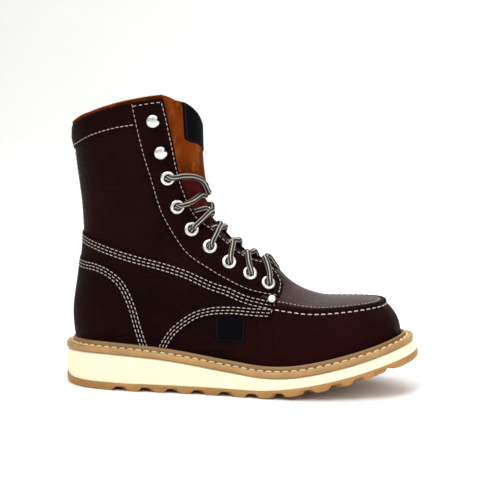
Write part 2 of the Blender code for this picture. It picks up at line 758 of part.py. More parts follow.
def make_side_panels():
    """Heel counter, quarters, eyestays and collar band, cut by their edges in side view."""
    xs = np.linspace(-20, SOLE_LENGTH, 30)
    rim = np.column_stack([xs, welt_top(xs) + WELT_RIDGE + PANEL_CLEAR])
    above = prism("above_welt", np.vstack([rim, [(SOLE_LENGTH, FAR), (-20, FAR)]]), "xz", -FAR, FAR)
    heel = smooth_path(COUNTER_EDGE, 9)
    corner = [(-20, COUNTER_EDGE[-1].z), (-20, COUNTER_EDGE[0].z)]
    inside = prism("counter_region", np.vstack([heel, corner]), "xz", -FAR, FAR)
    beyond = prism("counter_clearance", np.vstack([moved(heel, PANEL_CLEAR), corner]), "xz", -FAR, FAR)
    panel("counter", PANEL, BROWN, [inside, above], rows=[row for row in ROWS_ALONG if row >= 4])
    low = np.vstack([smooth_path(QUARTER_TOP, 8), smooth_path(QUARTER_ARCH, 9), [(-20, QUARTER_ARCH[-1].z)]])
    rear = smooth_path(EYESTAY_REAR, 12)
    front = np.vstack([rear, [(EYESTAY_FRONT_X, rear[-1, 1]), (EYESTAY_FRONT_X, 125), (150, FAR)]])
    for label, side in SIDES.items():
        middle = SECTIONS[-1].mid + side * PANEL_CLEAR / 2
        region = prism("quarter_region_" + label, low, "xz", middle, side * FAR)
        panel("quarter_" + label, PANEL, BROWN, [region, above], [beyond],
              rows=[row for row in ROWS_ALONG if row >= 1.5])
        centre = SECTIONS[3].mid + side * EYESTAY_CENTRE
        region = prism("eyestay_region_" + label, front, "xz", centre, side * FAR)
        panel("eyestay_" + label, PANEL, BROWN, [region], sides=[side],
              rows=[row for row in ROWS_ALONG if row >= 1.5],
              lines=[line for line in LINES_ROUND if line <= WIDEST_ROUND])
    cuff = smooth_path(CUFF_EDGE, 5)
    behind = moved(rear, -PANEL_CLEAR)
    behind = behind[behind[:, 1] > cuff[-1, 1]][::-1]
    region = np.vstack([cuff, behind, [(-20, FAR), (-20, cuff[0, 1])]])
    panel("collar_band", CUFF, BROWN, [prism("collar_region", region, "xz", -FAR, FAR)],
          rows=[row for row in ROWS_ALONG if row >= 11])
    back, ahead, bottom, top = SIDE_TAG
    tag = prism("tag_region", [(back, bottom), (ahead, bottom), (ahead, top), (back, top)], "xz", -FAR, 0)
    panel("side_tag", LABEL_THICK, NAVY, [tag], sides=[LATERAL],
          rows=[row for row in ROWS_ALONG if 2 <= row <= 5],
          lines=[line for line in LINES_ROUND if line >= .5])


def surface_trees(names):
    """Search trees over the finished faces of some pieces."""
    bpy.context.view_layer.update()
    graph = bpy.context.evaluated_depsgraph_get()
    return [BVHTree.FromObject(bpy.data.objects[name], graph) for name in names]


def seated(side, fixing, radius, trees, local):
    """Local points set down on the panels: x towards the throat, z outwards."""
    place = last_point(side, fixing.row, fixing.round)
    outward = last_normal(side, fixing.row, fixing.round)
    ahead = last_point(side, fixing.row, fixing.round - .02) - place
    ahead = ahead - outward * np.dot(ahead, outward)
    ahead /= np.linalg.norm(ahead)
    axes = np.stack([ahead, np.cross(outward, ahead), outward])
    heights = [0.0]
    for angle in np.linspace(0, 2 * math.pi, ROUND_STEPS, endpoint=False):
        for reach in (0.0, radius / 2, radius):
            probe = place + np.array([math.cos(angle) * reach, math.sin(angle) * reach, PROBE]) @ axes
            for tree in trees:
                hit = tree.ray_cast(Vector(to_metres(probe)), Vector(-outward), 2 * PROBE * MM)
                heights.append(PROBE - hit[3] / MM if hit[0] else 0.0)
    return place + outward * (max(heights) + SEAT_GAP) + np.asarray(local, float) @ axes


def turned(name, side, fixing, trees, profile, open_ring):
    """Turned nickel piece: a profile of radius and height, as an open ring or a capped dome."""
    angles = np.linspace(0, 2 * math.pi, ROUND_STEPS, endpoint=False)
    radius, rise = np.array(profile, float).T
    rings = np.stack(np.broadcast_arrays(
        radius[:, None] * np.cos(angles), radius[:, None] * np.sin(angles), rise[:, None]), -1)
    points = seated(side, fixing, radius.max(), trees, rings.reshape(-1, 3))
    count = len(profile)
    faces = grid_faces(count, ROUND_STEPS, closed=True)
    last = (count - 1) * ROUND_STEPS
    if open_ring:
        for j in range(ROUND_STEPS):
            k = (j + 1) % ROUND_STEPS
            faces.append((last + j, last + k, k, j))
    else:
        faces.append(tuple(range(ROUND_STEPS))[::-1])
        faces.append(tuple(range(last, last + ROUND_STEPS)))
    mesh = mesh_from_faces(name, points, faces)
    add_object(name, mesh, NICKEL)


def make_hook(name, side, fixing, trees):
    """Speed hook: a bent strip, open towards the throat."""
    half = HOOK_LENGTH / 2
    top = HOOK_HEIGHT
    inner = HOOK_PLATE
    profile = np.array([
        (half, 0), (half, inner), (inner - half, inner), (inner - half, top - inner), (half, top - inner),
        (half, top), (inner - half, top), (-half, top - inner), (-half, inner), (inner - half, 0)])
    ends = [np.insert(profile, 1, depth, axis=1) for depth in (-HOOK_WIDTH / 2, HOOK_WIDTH / 2)]
    points = seated(side, fixing, half, trees, np.concatenate(ends))
    count = len(profile)
    faces = grid_faces(2, count, closed=True)
    faces += [tuple(range(count))[::-1], tuple(range(count, 2 * count))]
    add_object(name, mesh_from_faces(name, points, faces), NICKEL)


def make_fixings():
    ring = [(EYELET_HOLE, 0), (EYELET_OUTER, 0), (EYELET_OUTER - 1, EYELET_HEIGHT),
            (EYELET_HOLE, EYELET_HEIGHT)]
    dome = [(RIVET_RADIUS, 0), (RIVET_RADIUS * .8, RIVET_HEIGHT * .7), (RIVET_RADIUS * .35, RIVET_HEIGHT)]
    for label, side in SIDES.items():
        trees = surface_trees(["eyestay_" + label, "quarter_" + label])
        for i, fixing in enumerate(EYELETS, 1):
            turned(f"eyelet_{label}_{i}", side, fixing, trees, ring, open_ring=True)
        for i, fixing in enumerate(HOOKS, 1):
            make_hook(f"hook_{label}_{i}", side, fixing, trees)
        turned("rivet_" + label, side, RIVET, trees, dome, open_ring=False)


def lace_path(near, start, end):
    """Middle line of a lace from beside one eyelet, over the edge and across the throat."""
    span = end.row - start.row
    stride = np.linalg.norm(last_point(near, start.row, start.round) - last_point(near, start.row, 0))
    beside = start.round * max(0.15, 1 - (EYELET_OUTER + LACE_START) / stride)

    def over(part, round_):
        row = start.row + part * span
        return last_point(near, row, round_) + last_normal(near, row, max(round_, .01)) * LACE_LIFT

    def across(side, part, share):
        row = start.row + part * span
        edge = throat_angle(side, row)
        low = tongue_inset(row, edge * share, edge) - LACE_RADIUS - LACE_REST
        settle = ease((row - LACE_DROP[0]) / (LACE_DROP[1] - LACE_DROP[0]))
        if side == near:
            settle = settle * (1 - ease(share))
        return front_point(side, row, edge * share, -LACE_LIFT + (LACE_LIFT + low) * settle)

    marks = [over(.06, beside), over(.2, .01), across(near, .36, .5), across(near, .5, 0),
             across(-near, .65, .4), across(-near, .8, LACE_END)]
    return smooth_path(marks, LACE_STEPS)


def tube(name, path, group):
    """Round cord along a path, closed at both ends."""
    along = np.gradient(path, axis=0)
    along /= np.linalg.norm(along, axis=1)[:, None]
    beside = np.cross(along, (.8, 0, .6))
    beside /= np.linalg.norm(beside, axis=1)[:, None]
    above = np.cross(beside, along)
    angles = np.linspace(0, 2 * math.pi, LACE_SIDES, endpoint=False)[:, None, None]
    rings = path + LACE_RADIUS * (np.cos(angles) * beside + np.sin(angles) * above)
    points = rings.transpose(1, 0, 2).reshape(-1, 3)
    last = (len(path) - 1) * LACE_SIDES
    faces = grid_faces(len(path), LACE_SIDES, closed=True)
    faces += [tuple(range(LACE_SIDES))[::-1], tuple(range(last, last + LACE_SIDES))]
    return add_object(name, mesh_from_faces(name, points, faces), CORD, group)


def make_laces():
    """One crossing for each pair of eyelets: two cords joined where they meet."""
    ends = EYELETS[1:] + [LACE_TOP]
    for i, (start, end) in enumerate(zip(EYELETS, ends), 1):
        crossing = tube(f"lace_cross_{i}", lace_path(LATERAL, start, end), PARTS)
        other = tube(f"lace_back_{i}", lace_path(MEDIAL, start, end), CUTTERS)
        boolean(crossing, other, "UNION")


make_outsole()
make_sole_stack()
make_upper()
make_tongue()
make_toe_panels()
make_side_panels()
make_fixings()
make_laces()
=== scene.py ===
"""Dresses a right moc toe work boot: leather panels, stitching, metalwork, laces and sole.

Lengths inside the shape functions are millimetres, with x forward from the back of the heel,
y towards the inner side of the foot and z up from the floor. Meshes are written in metres
with the origin under the middle of the sole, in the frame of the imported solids.
"""
import math
from collections import namedtuple

import bmesh
import bpy
import numpy as np
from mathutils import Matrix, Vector


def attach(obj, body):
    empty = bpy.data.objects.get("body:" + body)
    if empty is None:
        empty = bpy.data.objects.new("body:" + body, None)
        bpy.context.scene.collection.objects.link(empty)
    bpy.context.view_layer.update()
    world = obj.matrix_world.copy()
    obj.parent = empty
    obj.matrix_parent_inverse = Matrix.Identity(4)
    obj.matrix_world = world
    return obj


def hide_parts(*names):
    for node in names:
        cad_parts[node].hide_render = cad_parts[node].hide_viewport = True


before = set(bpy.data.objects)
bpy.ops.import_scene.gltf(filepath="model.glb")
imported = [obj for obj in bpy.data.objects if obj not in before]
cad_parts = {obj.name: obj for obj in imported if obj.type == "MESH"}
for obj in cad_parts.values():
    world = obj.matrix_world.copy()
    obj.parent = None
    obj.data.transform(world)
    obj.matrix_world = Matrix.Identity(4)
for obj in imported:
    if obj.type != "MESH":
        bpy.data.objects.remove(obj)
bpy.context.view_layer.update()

bl_info = {
    "name": "Moc Toe Work Boot",
    "version": (1, 0, 0),
    "blender": (4, 5, 0),
    "location": "View3D > Sidebar > Boot",
    "description": "Builds the visible pieces of a moc toe work boot over its solids",
    "category": "Object",
}

MM = 0.001
LATERAL = -1
MEDIAL = 1
SIDES = {"lateral": LATERAL, "medial": MEDIAL}
VIEW_AZIMUTH = 11.0
VIEW_ELEVATION = 8.0
VIEW_DISTANCE = 1.4
VIEW_LENS = 123.0
VIEW_TARGET = (0.0, 0.0, 0.125)

# Soft lights: name, place, size, power and aim, in metres and watts, and the brightness of the air
LIGHTS = [
    ("key_softbox", (-.5, -1.3, 1.9), 1.3, 40, (0, 0, .1)),
    ("fill_softbox", (1.7, -1.1, 1.2), 1.3, 16, (0, 0, .1)),
    ("back_softbox", (.3, 1.3, 1.7), 1.4, 16, (0, 0, .1)),
    ("backdrop_softbox", (0, .4, 3.2), 2.2, 60, (0, 3, 1.2)),
]
AIR_BRIGHTNESS = .32

# Sole: its layers, the rise to the toe and the cut at the heel
SOLE_LENGTH = 305.0
OUTSOLE_THICK = 6.0
WELT_THICK = 5.4
TOE_SPRING = 30.0
SPRING_START = 170.0
SPRING_POWER = 1.65
HEEL_BEVEL = 14.0
HEEL_LIFT = 3.0
FOOT_RISE = 2.3

# Outline by x: half widths on the outer and the inner side
SOLE_STATIONS = [
    (7, 25, 17), (22, 39, 29), (52, 47.5, 37), (92, 48.5, 36), (126, 49, 36.5), (156, 51.5, 43.3),
    (185, 55.3, 51), (206.5, 56.5, 55.5), (239, 52.7, 56.4), (265, 44.4, 51.7), (287.5, 31.3, 40.6),
    (300.7, 16.2, 21.8)]
HEEL_TIP = (0.0, -4.5)
TOE_TIP = (305.0, 1.0)

# By x: the wedge's height, and the feather distance of the upper from the sole's edge
WEDGE = [(0, 23.5), (30, 25), (60, 24.5), (95, 22), (150, 14.8), (200, 9.6), (250, 9.3), (305, 9.5)]
FEATHER = [(0, 10), (20, 9.2), (60, 8.4), (220, 8.5), (280, 11), (305, 15)]

# Lean of the layers at the toe, and the insole board's places over the wedge and the welt
TOE_LEAN_START = 255.0
WEDGE_LEAN = 3.0
WELT_LEAN = 4.3
INSOLE_UNDER = .4
INSOLE_OVER = 2.6

# Edges of the layers from below upwards: share of the feather distance, offset inwards, share of height
OUTSOLE_EDGE = [(0, .7, 0), (0, .25, .07), (0, .05, .2), (0, 0, .4), (0, 0, .62), (0, .1, .85), (0, .5, 1)]
WEDGE_EDGE = [
    (0, 1.5, 0), (0, .9, .04), (0, .75, .12), (0, .85, .35), (0, .95, .6), (0, .8, .86), (0, 1.0, .95),
    (0, 1.7, 1)]
INSOLE_EDGE = [(1, 2.6, 0), (1, 2.4, .5), (1, 2.6, .9), (1, 3.2, 1)]

# The welt's closed profile: share of the feather distance, offset inwards, height over the wedge
WELT_PROFILE = [
    (0, .7, .2), (0, .2, .7), (0, 0, 1.6), (0, -.1, 2.7), (0, 0, 3.8), (0, .3, 4.7), (0, .9, 5.3),
    (0, 1.7, 5.5), (.33, 0, 5.3), (.4, 0, 4.9), (.48, 0, 4.75), (.55, 0, 4.9), (1, -4.3, 5.4),
    (1, -4.1, 6.6), (1, -3.9, 8.0), (1, -3.5, 9.0), (1, -2.9, 9.45), (1, -2.2, 9.4), (1, -1.6, 8.9),
    (1, -1.2, 7.6), (1, -.8, 6.0), (1, .4, 5.3), (1, 2.2, 5.2), (1, 2.2, .2)]

# Sections of the last from the toe to the collar: places in side view, half widths and powers
Section = namedtuple(
    "Section", "top_x top_z foot_x foot_z mid outer inner widest crown gap arch plug_in plug_drop")
SECTIONS = [
    Section(243, 77, 243, 62, 0, 46, 46, .62, 3.0, 0, 0, 13, 3.5),
    Section(221, 78.6, 214, 62, -.2, 50, 50, .66, 2.8, 0, 0, 12, 5.8),
    Section(200, 87.3, 182, 62, -.7, 48, 45, .70, 2.4, 0, 0, 12, 13),
    Section(183, 101.8, 150, 62, -1.5, 43.5, 38, .73, 2.1, 0, 0, 12, 26),
    Section(165, 115, 115, 62, -2.6, 40.2, 33.6, .74, 2.0, 12, 0, 12, 30),
    Section(149.7, 128, 75, 62, -3.7, 38.4, 33.7, .70, 2.0, 13, 0, 12, 30),
    Section(138.8, 141, 38, 62, -4.3, 36.6, 34.2, .64, 2.0, 14, 0, 12, 30),
    Section(132.9, 150, 14, 62, -4.5, 35.3, 34.4, .59, 2.0, 16, 0, 12, 30),
    Section(128.9, 158, 10, 38, -4.5, 34.6, 34.4, .56, 2.0, 18, 0, 12, 30),
    Section(125.9, 169, 8, 62, -4.5, 34.5, 34.5, .53, 2.0, 20, 0, 12, 30),
    Section(123.4, 182, 12.2, 92, -4.5, 35.2, 35.2, .51, 2.0, 23, 1, 12, 30),
    Section(121.9, 197, 16.4, 122, -4.5, 36.5, 36.5, .50, 2.1, 27, 3, 12, 30),
    Section(121.4, 213, 15.8, 153, -4.5, 38.5, 38.5, .50, 2.1, 30, 5, 12, 30),
    Section(120.9, 229, 11.6, 188, -4.5, 40.5, 40.5, .50, 2.1, 33, 8, 12, 30),
    Section(119.9, 246, 8.2, 220.5, -4.5, 42.5, 42.5, .50, 2.1, 36, 11, 12, 30),
]

# Where sections change their kind, and the shares and lengths that shape them
HEEL_ROW = 8.0
COLLAR_ROW = 14.0
HEEL_BLEND = 0.75
HEEL_TAPS = (-1.0, -.65, -.3, 0.0, .3, .65, 1.0)
HEEL_FOOT_HELD = .94
THROAT_ROW = 3.0
THROAT_FLARE = 0.6
WIDEST_ROUND = 0.6
SEAM_ROUND = 0.36
BULGE = 2.0
MOC_FADE = (2.2, 4.0)
WALL_BELLY = 1.0
WALL_BEND = 0.42
SIDE_STEP = .004
ROUND_LIMITS = (.012, .992)

# Panel edges seen from the side, as x and z
QUARTER_TOP = [
    (-4, 136), (24, 129.5), (68, 117.3), (116, 104), (139, 94.4), (150, 91), (165, 84.6), (192, 78.6)]
QUARTER_ARCH = [
    (96, 32), (105, 46.5), (114.5, 55.5), (124, 61.8), (135.5, 65.3), (152, 66.5), (172, 65), (189.5, 64.5)]
COUNTER_EDGE = [
    (-4, 110.5), (20, 109), (39, 107.3), (53, 101), (63, 91.5), (73.5, 69.3), (77.5, 55.3), (86, 30)]
EYESTAY_REAR = [
    (66, 262), (69.5, 239), (76.2, 205), (82.8, 180), (89.3, 154.5), (96.3, 138.8), (105.8, 123.4),
    (132.2, 102.5), (149.7, 92.9), (164.8, 86.1), (192.5, 79.6)]
CUFF_EDGE = [(-4, 196), (14, 203), (34, 213), (54, 219.5), (71.8, 223)]

# Side tag: back, front, foot and top in side view, its tuck under the quarter, height and edge
SIDE_TAG = (140.0, 165.0, 45.0, 64.0)
SIDE_TAG_TUCK = 4.0
SIDE_TAG_HEIGHT = .8
SIDE_TAG_EDGE = .4
SIDE_TAG_WALL = .6

# Front of the panels: the section they start at, and the eyestay's front edge as section and round
PANEL_FRONT_ROW = 2.27
FLAP_EDGE = .004
EYESTAY_FRONT = [
    (PANEL_FRONT_ROW, .25), (2.34, .175), (2.5, .112), (2.8, .066), (3.2, .03), (3.7, FLAP_EDGE),
    (14, FLAP_EDGE)]

# Heights of eyestay and collar band as shares of a panel's, the band's swell and edge, the panels' wall
EYESTAY_SHARE = 1.25
COLLAR_SHARE = .9
COLLAR_SWELL = 1.0
COLLAR_EDGE = 1.1
PANEL_WALL = .9

# Plug and rolled seam over the toes: rounds of the section, height of the roll and its puckers
PLUG_ROUND = .336
PLUG_SHARE = .8
PLUG_WALL = .7
ROLL_ROUND = .327
ROLL_WIDTH = .088
ROLL_MIDDLE = .37
ROLL_HEIGHT = 2.2
ROLL_SINK = .25
ROLL_WALL = .5
PUCKER_HEIGHT = .22
PUCKER_LENGTH = 5.2

# Stitch rows: distances from the panels' edges, first section of a row and height over the panel
QUARTER_STITCHES = (2.2, 4.9, 7.6)
ARCH_STITCHES = (2.2, 4.7, 7.2)
COUNTER_STITCHES = (2.2, 4.8, 7.4)
EYESTAY_STITCHES = (2.0, 2.6)
STITCH_FRONT_ROW = 2.34
THREAD_LIFT = .1
BACK_SEAM_ROUND = .955

# Stitches of the toe seam: round, height, length, pitch and width
TOE_STITCHES = ((.421, .15, 4.0, 5.4, 1.05), (.322, 1.0, 2.2, 3.4, .6))

# Stitches of the welt: length, pitch and width, then their share of the feather distance, rise and slant
WELT_STITCH = (6.5, 7.1, 2.1)
WELT_STITCH_SHARE = .47
WELT_STITCH_RISE = 5.15
WELT_STITCH_SLANT = .12

# One stitch: places along its half length, and its girth there
STITCH_RUN = (-1, -.86, -.4, .4, .86, 1)
STITCH_GIRTH = (0, .72, 1, 1, .72, 0)

# Eyelets, hooks and rivets: section and how far round it, and height over the leather
EYELETS = [(2.92, .217), (3.65, .180), (4.51, .140), (5.53, .135), (7.23, .110), (9.37, .127), (10.92, .165)]
HOOKS = [(12.06, .207), (13.2, .233)]
RIVET = (2.52, .315)
FIXING_LIFT = 1.5
RIVET_LIFT = 2.2

# Profiles as radius and rise, an eyelet's and a hook's head in from their outer radius
EYELET_RIM = [
    (.1, -.9), (0, .1), (.15, .55), (.6, .95), (1.3, 1.2), (2, 1.2), (2.6, .95), (2.95, .45), (3.1, -.3),
    (3.1, -2.4), (2.8, -2.4), (.1, -.9)]
RIVET_DOME = [(0, -1.2), (3.5, -1.2), (3.6, 0), (3.4, .6), (2.8, 1.15), (1.9, 1.5), (.9, 1.68), (0, 1.72)]
HOOK_WAIST = [(0, -1), (3.6, -1), (3.8, .2), (3.4, .8), (2.6, 1.1), (2.3, 2.0), (2.6, 2.7)]
HOOK_HEAD = [(.4, 2.8), (0, 3.2), (.15, 3.75), (1, 4.3), (2.4, 4.75)]
HOOK_CROWN = [(1.6, 4.95), (0, 5.0)]

# Notch in a hook's head: bearing, half angle and depth
HOOK_NOTCH = .1
HOOK_NOTCH_HALF = .42
HOOK_NOTCH_DEPTH = .42

# Lugs under the sole, and the bare plaque under the arch with the room that the grooves leave for it
GROOVES_X = [57, 79.5, 102, 124.5, 147, 169.5, 193, 217, 239.5, 261, 281]
GROOVE_WIDTH = 6.0
GROOVE_DEPTH = 3.8
GROOVE_FLARE = 7.0
ZIGZAG_HEIGHT = 8.5
ZIGZAG_PERIOD = 26.0
PLAQUE_X = (120.0, 152.0)
PLAQUE_HALF = 24.0
PLAQUE_CENTRE = (136.0, -1.0)
PLAQUE_HALVES = (20.5, 11.5)
PLAQUE_DEPTH = .5

# Tongue: its sections, room under the flaps, bow and thickness, and the leather that it lies under
TONGUE_ROWS = (3.0, 13.55)
TONGUE_TUCK = 8.0
TONGUE_PLAY = 1.7
TONGUE_CLEAR = 0.85
TONGUE_BOW = (-.4, .75)
TONGUE_RISE_ROWS = (7.0, 10.0)
LEATHER = 2.2
TONGUE_THICK = 2.6
TONGUE_SWAY = .35

# Lining: how far its edge is below the collar's top, and the section at its foot
LINING_RISE = -.9
LINING_FOOT_ROW = 3.15

# Tongue's top edge and its label's foot, as sections from the outer to the inner side
TONGUE_TOP = [(-1, 13.97), (-.7, 13.9), (-.4, 13.66), (-.15, 13.2), (.1, 12.6), (.4, 12.3), (1, 12.2)]
LABEL_FOOT = [(-.5, 12.3), (-.44, 12.1), (-.2, 11.72), (.05, 11.38), (.5, 11.1)]
LABEL_HALF = .47
LABEL_LIFT = .9
LABEL_WALL = .8

# Collar's inner side: how much lower it is cut, and the drop and round of its front corner
INNER_DROP = 2.0
INNER_CORNER = 11.0
INNER_ROUND = .38

# Laces: the sections at which they cross, and their height over the flaps
CROSSING_ROWS = np.array([3.45, 4.25, 5.0, 5.95, 7.3, 8.75])
LACE_LIFT = 4.3

# Heights over the tongue at the near half, middle and far half, in lace radii, of the two ends
LACE_BELOW = (1, .65, .65)
LACE_ON_TOP = (2.25, 2.35, 1.85)

# How far the tongue gives way at a crossing, and how an end tucks under the far flap
LACE_DENT = 3.2
LACE_DENT_ROWS = .38
LACE_TUCK = 3.4
LACE_FAR_SHARE = .4
LACE_UNDER_EDGE = 1.04

# Sides of the cord, bow of the top crossing, and places in an eyelet's hole along its axes
LACE_SIDES = 16
LACE_TOP_BOW = {LATERAL: .5, MEDIAL: -.25}
LACE_HOLE = ((-1.6, 0, -5.0), (-.5, 0, -1.6), (.5, 0, 1.7))

# Soft folds of the leather: from x, z to x, z, depth and half width
CREASES = [
    (84, 150, 112, 158, .55, 3.2),
    (78, 139, 108, 146, .7, 3.6),
    (70, 128, 100, 131, .55, 3.4),
    (58, 140, 84, 133, .4, 3.0),
    (30, 150, 62, 147, .45, 4.0),
    (24, 138, 50, 137, .4, 3.4),
    (178, 90, 196, 74, .35, 2.6),
    (186, 94, 204, 78, .35, 2.8),
    (24, 88, 60, 82, .3, 4.5),
    (92, 88, 124, 82, .3, 4.0),
]

# Distances at which the points of a piece are merged
THREAD_MERGE = .002
METAL_MERGE = .005
LACE_MERGE = .005
PANEL_MERGE = .02
TOE_MERGE = .03
UPPER_MERGE = .05


def ease(w):
    """Smooth step from 0 to 1: 3w^2 - 2w^3 of the clamped value."""
    w = np.clip(w, 0, 1)
    return w * w * (3 - 2 * w)


def through(table, x):
    """Cubic curve through a two-column table, with weighted mean slopes at the knots."""
    knots, values = np.array(table, float).T
    x = np.clip(x, knots[0], knots[-1])
    step = np.diff(knots)
    slope = np.diff(values) / step
    tangent = np.empty_like(values)
    tangent[1:-1] = (slope[:-1] * step[1:] + slope[1:] * step[:-1]) / (step[:-1] + step[1:])
    tangent[0] = 1.5 * slope[0] - 0.5 * tangent[1]
    tangent[-1] = 1.5 * slope[-1] - 0.5 * tangent[-2]
    k = np.clip(np.searchsorted(knots, x, side="right") - 1, 0, len(step) - 1)
    w = (x - knots[k]) / step[k]
    lead = w * (1 - w) ** 2 * tangent[k]
    trail = w * w * (1 - w) * tangent[k + 1]
    return values[k] + (values[k + 1] - values[k]) * ease(w) + (lead - trail) * step[k]


def lengths(path):
    """Length along a path at each of its points: the running sum of its steps."""
    return np.concatenate([[0], np.cumsum(np.linalg.norm(np.diff(path, axis=0), axis=1))])


def sampled(path, reach, at):
    """Values of a path at given lengths, linear between its points."""
    return np.column_stack([np.interp(at, reach, values) for values in path.T])


def smooth_path(points, count):
    """Points at even chord lengths along a cubic curve through a few given ones."""
    points = np.array(points, float)
    chord = lengths(points)
    reach = np.linspace(0, chord[-1], count)
    return np.column_stack([through(np.column_stack([chord, values]), reach) for values in points.T])


def even_steps(path, spacing):
    """A path resampled at equal arc lengths, with its unit tangents."""
    reach = lengths(path)
    count = max(2, int(reach[-1] / spacing) + 1)
    points = sampled(path, reach, np.linspace(0, reach[-1], count))
    along = np.gradient(points, axis=0)
    return points, along / np.linalg.norm(along, axis=1)[:, None]


def unit(vectors):
    """Vectors divided by their lengths."""
    length = np.linalg.norm(vectors, axis=-1, keepdims=True)
    return vectors / np.maximum(length, 1e-12)


def crowded(count):
    """Values from 0 to 1 that crowd at both ends: half of one minus a cosine."""
    return .5 - .5 * np.cos(np.linspace(0, math.pi, count))


def runs(*stretches):
    """Values through stretches that share their ends, each even from its first to its last value."""
    parts = [np.linspace(*stretch) for stretch in stretches]
    return np.concatenate(parts[:1] + [part[1:] for part in parts[1:]])


def sole_outline(count):
    """Closed outline of the sole from the heel's back along the outer side, even in length."""
    outer = [(x, -lateral) for x, lateral, _ in SOLE_STATIONS]
    inner = [(x, medial) for x, _, medial in reversed(SOLE_STATIONS)]
    ring = [HEEL_TIP] + outer + [TOE_TIP] + inner
    lap = ring[-3:] + ring + ring[:4]
    dense = smooth_path(lap, 60 * len(lap))
    half = len(dense) // 2
    first = np.argmin(np.linalg.norm(dense[:half] - ring[0], axis=1))
    last = half + np.argmin(np.linalg.norm(dense[half:] - ring[0], axis=1))
    loop = dense[first:last + 1]
    reach = lengths(loop)
    return sampled(loop, reach, np.linspace(0, reach[-1], count, endpoint=False))


OUTLINE = sole_outline(720)


def inset_outline(share, offset=0.0, lean=0.0):
    """The outline moved inwards by a share of the feather distance, an offset and a lean at the toe."""
    toe = np.clip((OUTLINE[:, 0] - TOE_LEAN_START) / (SOLE_LENGTH - TOE_LEAN_START), 0, 1) ** 2
    along = unit(np.roll(OUTLINE, -1, 0) - np.roll(OUTLINE, 1, 0))
    inward = np.column_stack([-along[:, 1], along[:, 0]])
    return OUTLINE + inward * (share * through(FEATHER, OUTLINE[:, 0]) + offset + lean * toe)[:, None]


def split_sides(outline):
    """Outer and inner half of an outline, each from its rear tip to its front tip."""
    rolled = np.roll(outline, -int(np.argmin(outline[:, 0])), axis=0)
    front = int(np.argmax(rolled[:, 0]))
    return {LATERAL: rolled[:front + 1], MEDIAL: np.vstack([rolled[front:], rolled[:1]])[::-1]}


FEATHER_SIDES = split_sides(inset_outline(1.0))
FEATHER_BACK = min(side[:, 0].min() for side in FEATHER_SIDES.values())


def toe_rise(x):
    """Rise of the sole towards the toe: a power curve."""
    return TOE_SPRING * np.clip((x - SPRING_START) / (SOLE_LENGTH - SPRING_START), 0, 1) ** SPRING_POWER


def ground(x):
    """Underside of the sole: the rise to the toe, and a parabola at the heel's edge."""
    return toe_rise(x) + HEEL_LIFT * np.clip((HEEL_BEVEL - x) / HEEL_BEVEL, 0, 1) ** 2


def outsole_top(x):
    """Top of the outsole, a thickness over the ground."""
    return ground(x) + OUTSOLE_THICK


def wedge_top(x):
    """Top of the wedge: the rise to the toe, the outsole and the wedge's own height."""
    return toe_rise(x) + OUTSOLE_THICK + through(WEDGE, x)


def welt_top(x):
    """Top of the welt's strip, a thickness over the wedge."""
    return wedge_top(x) + WELT_THICK


def insole_foot(x):
    """Underside of the insole board, a little over the wedge."""
    return wedge_top(x) + INSOLE_UNDER


def insole_top(x):
    """Top of the insole board, a little over the welt's strip."""
    return welt_top(x) + INSOLE_OVER


def column(name, row):
    """One value of the sections, on a smooth curve through their table."""
    return through([(i, getattr(section, name)) for i, section in enumerate(SECTIONS)], row)


def throat_gap(row):
    """Half width of the throat: a round-ended slot that widens to the collar."""
    return column("gap", row) * np.sqrt(np.clip((row - THROAT_ROW) / THROAT_FLARE, 0, 1))


def section_ends(side, s):
    """Ends of the section at s. Below zero, s turns round the toe."""
    row = np.clip(s, 0, None)
    turn = np.clip(-s, 0, 1) * math.pi / 2
    top_x = column("top_x", row)
    top_z = column("top_z", row)
    foot_x = column("foot_x", row)
    on_feather = row < HEEL_ROW
    foot_x = np.where(on_feather, np.maximum(foot_x, FEATHER_BACK), foot_x)
    half = FEATHER_SIDES[side]
    half_y = np.interp(foot_x, half[:, 0], half[:, 1]) - column("mid", row)
    reach = np.where(on_feather, np.clip(side * half_y, 0, None), 0)
    fan_x = half[:, 0] - SECTIONS[0].top_x
    ahead = fan_x > -10
    bearing = np.arctan2(fan_x[ahead], np.abs(half[ahead, 1]))
    radius = np.interp(turn, bearing, np.hypot(fan_x[ahead], half[ahead, 1]))
    reach = np.where(s < 0, radius, reach)
    fan_z = welt_top(SECTIONS[0].top_x + radius * np.sin(turn))
    foot_z = np.where(on_feather, welt_top(foot_x), column("foot_z", row))
    foot_z = np.where(s < 0, fan_z, foot_z) + np.where(on_feather, FOOT_RISE, 0)
    return row, turn, top_x, top_z, foot_x, foot_z, reach


def widest_half(side, row, reach):
    """Greatest half width of a section: a little over the feather line, or from the table."""
    table = column("outer" if side == LATERAL else "inner", row)
    belly = reach + BULGE
    return belly + (table - belly) * ease(row - THROAT_ROW)


def last_point(side, s, t):
    """Outside of the leather, its sections averaged over their neighbours where the heel's corner turns."""
    s, t = np.broadcast_arrays(np.asarray(s, float), np.asarray(t, float))
    place = section_point(side, s, t)
    free = 1 - ease((t - HEEL_FOOT_HELD) / (1 - HEEL_FOOT_HELD))
    near = np.exp(-((s - HEEL_ROW) / HEEL_BLEND) ** 2) * free
    turn = near > .02
    if turn.any():
        spread = near[turn] * HEEL_BLEND
        place[turn] = np.mean([section_point(side, s[turn] + k * spread, t[turn]) for k in HEEL_TAPS], axis=0)
    return place


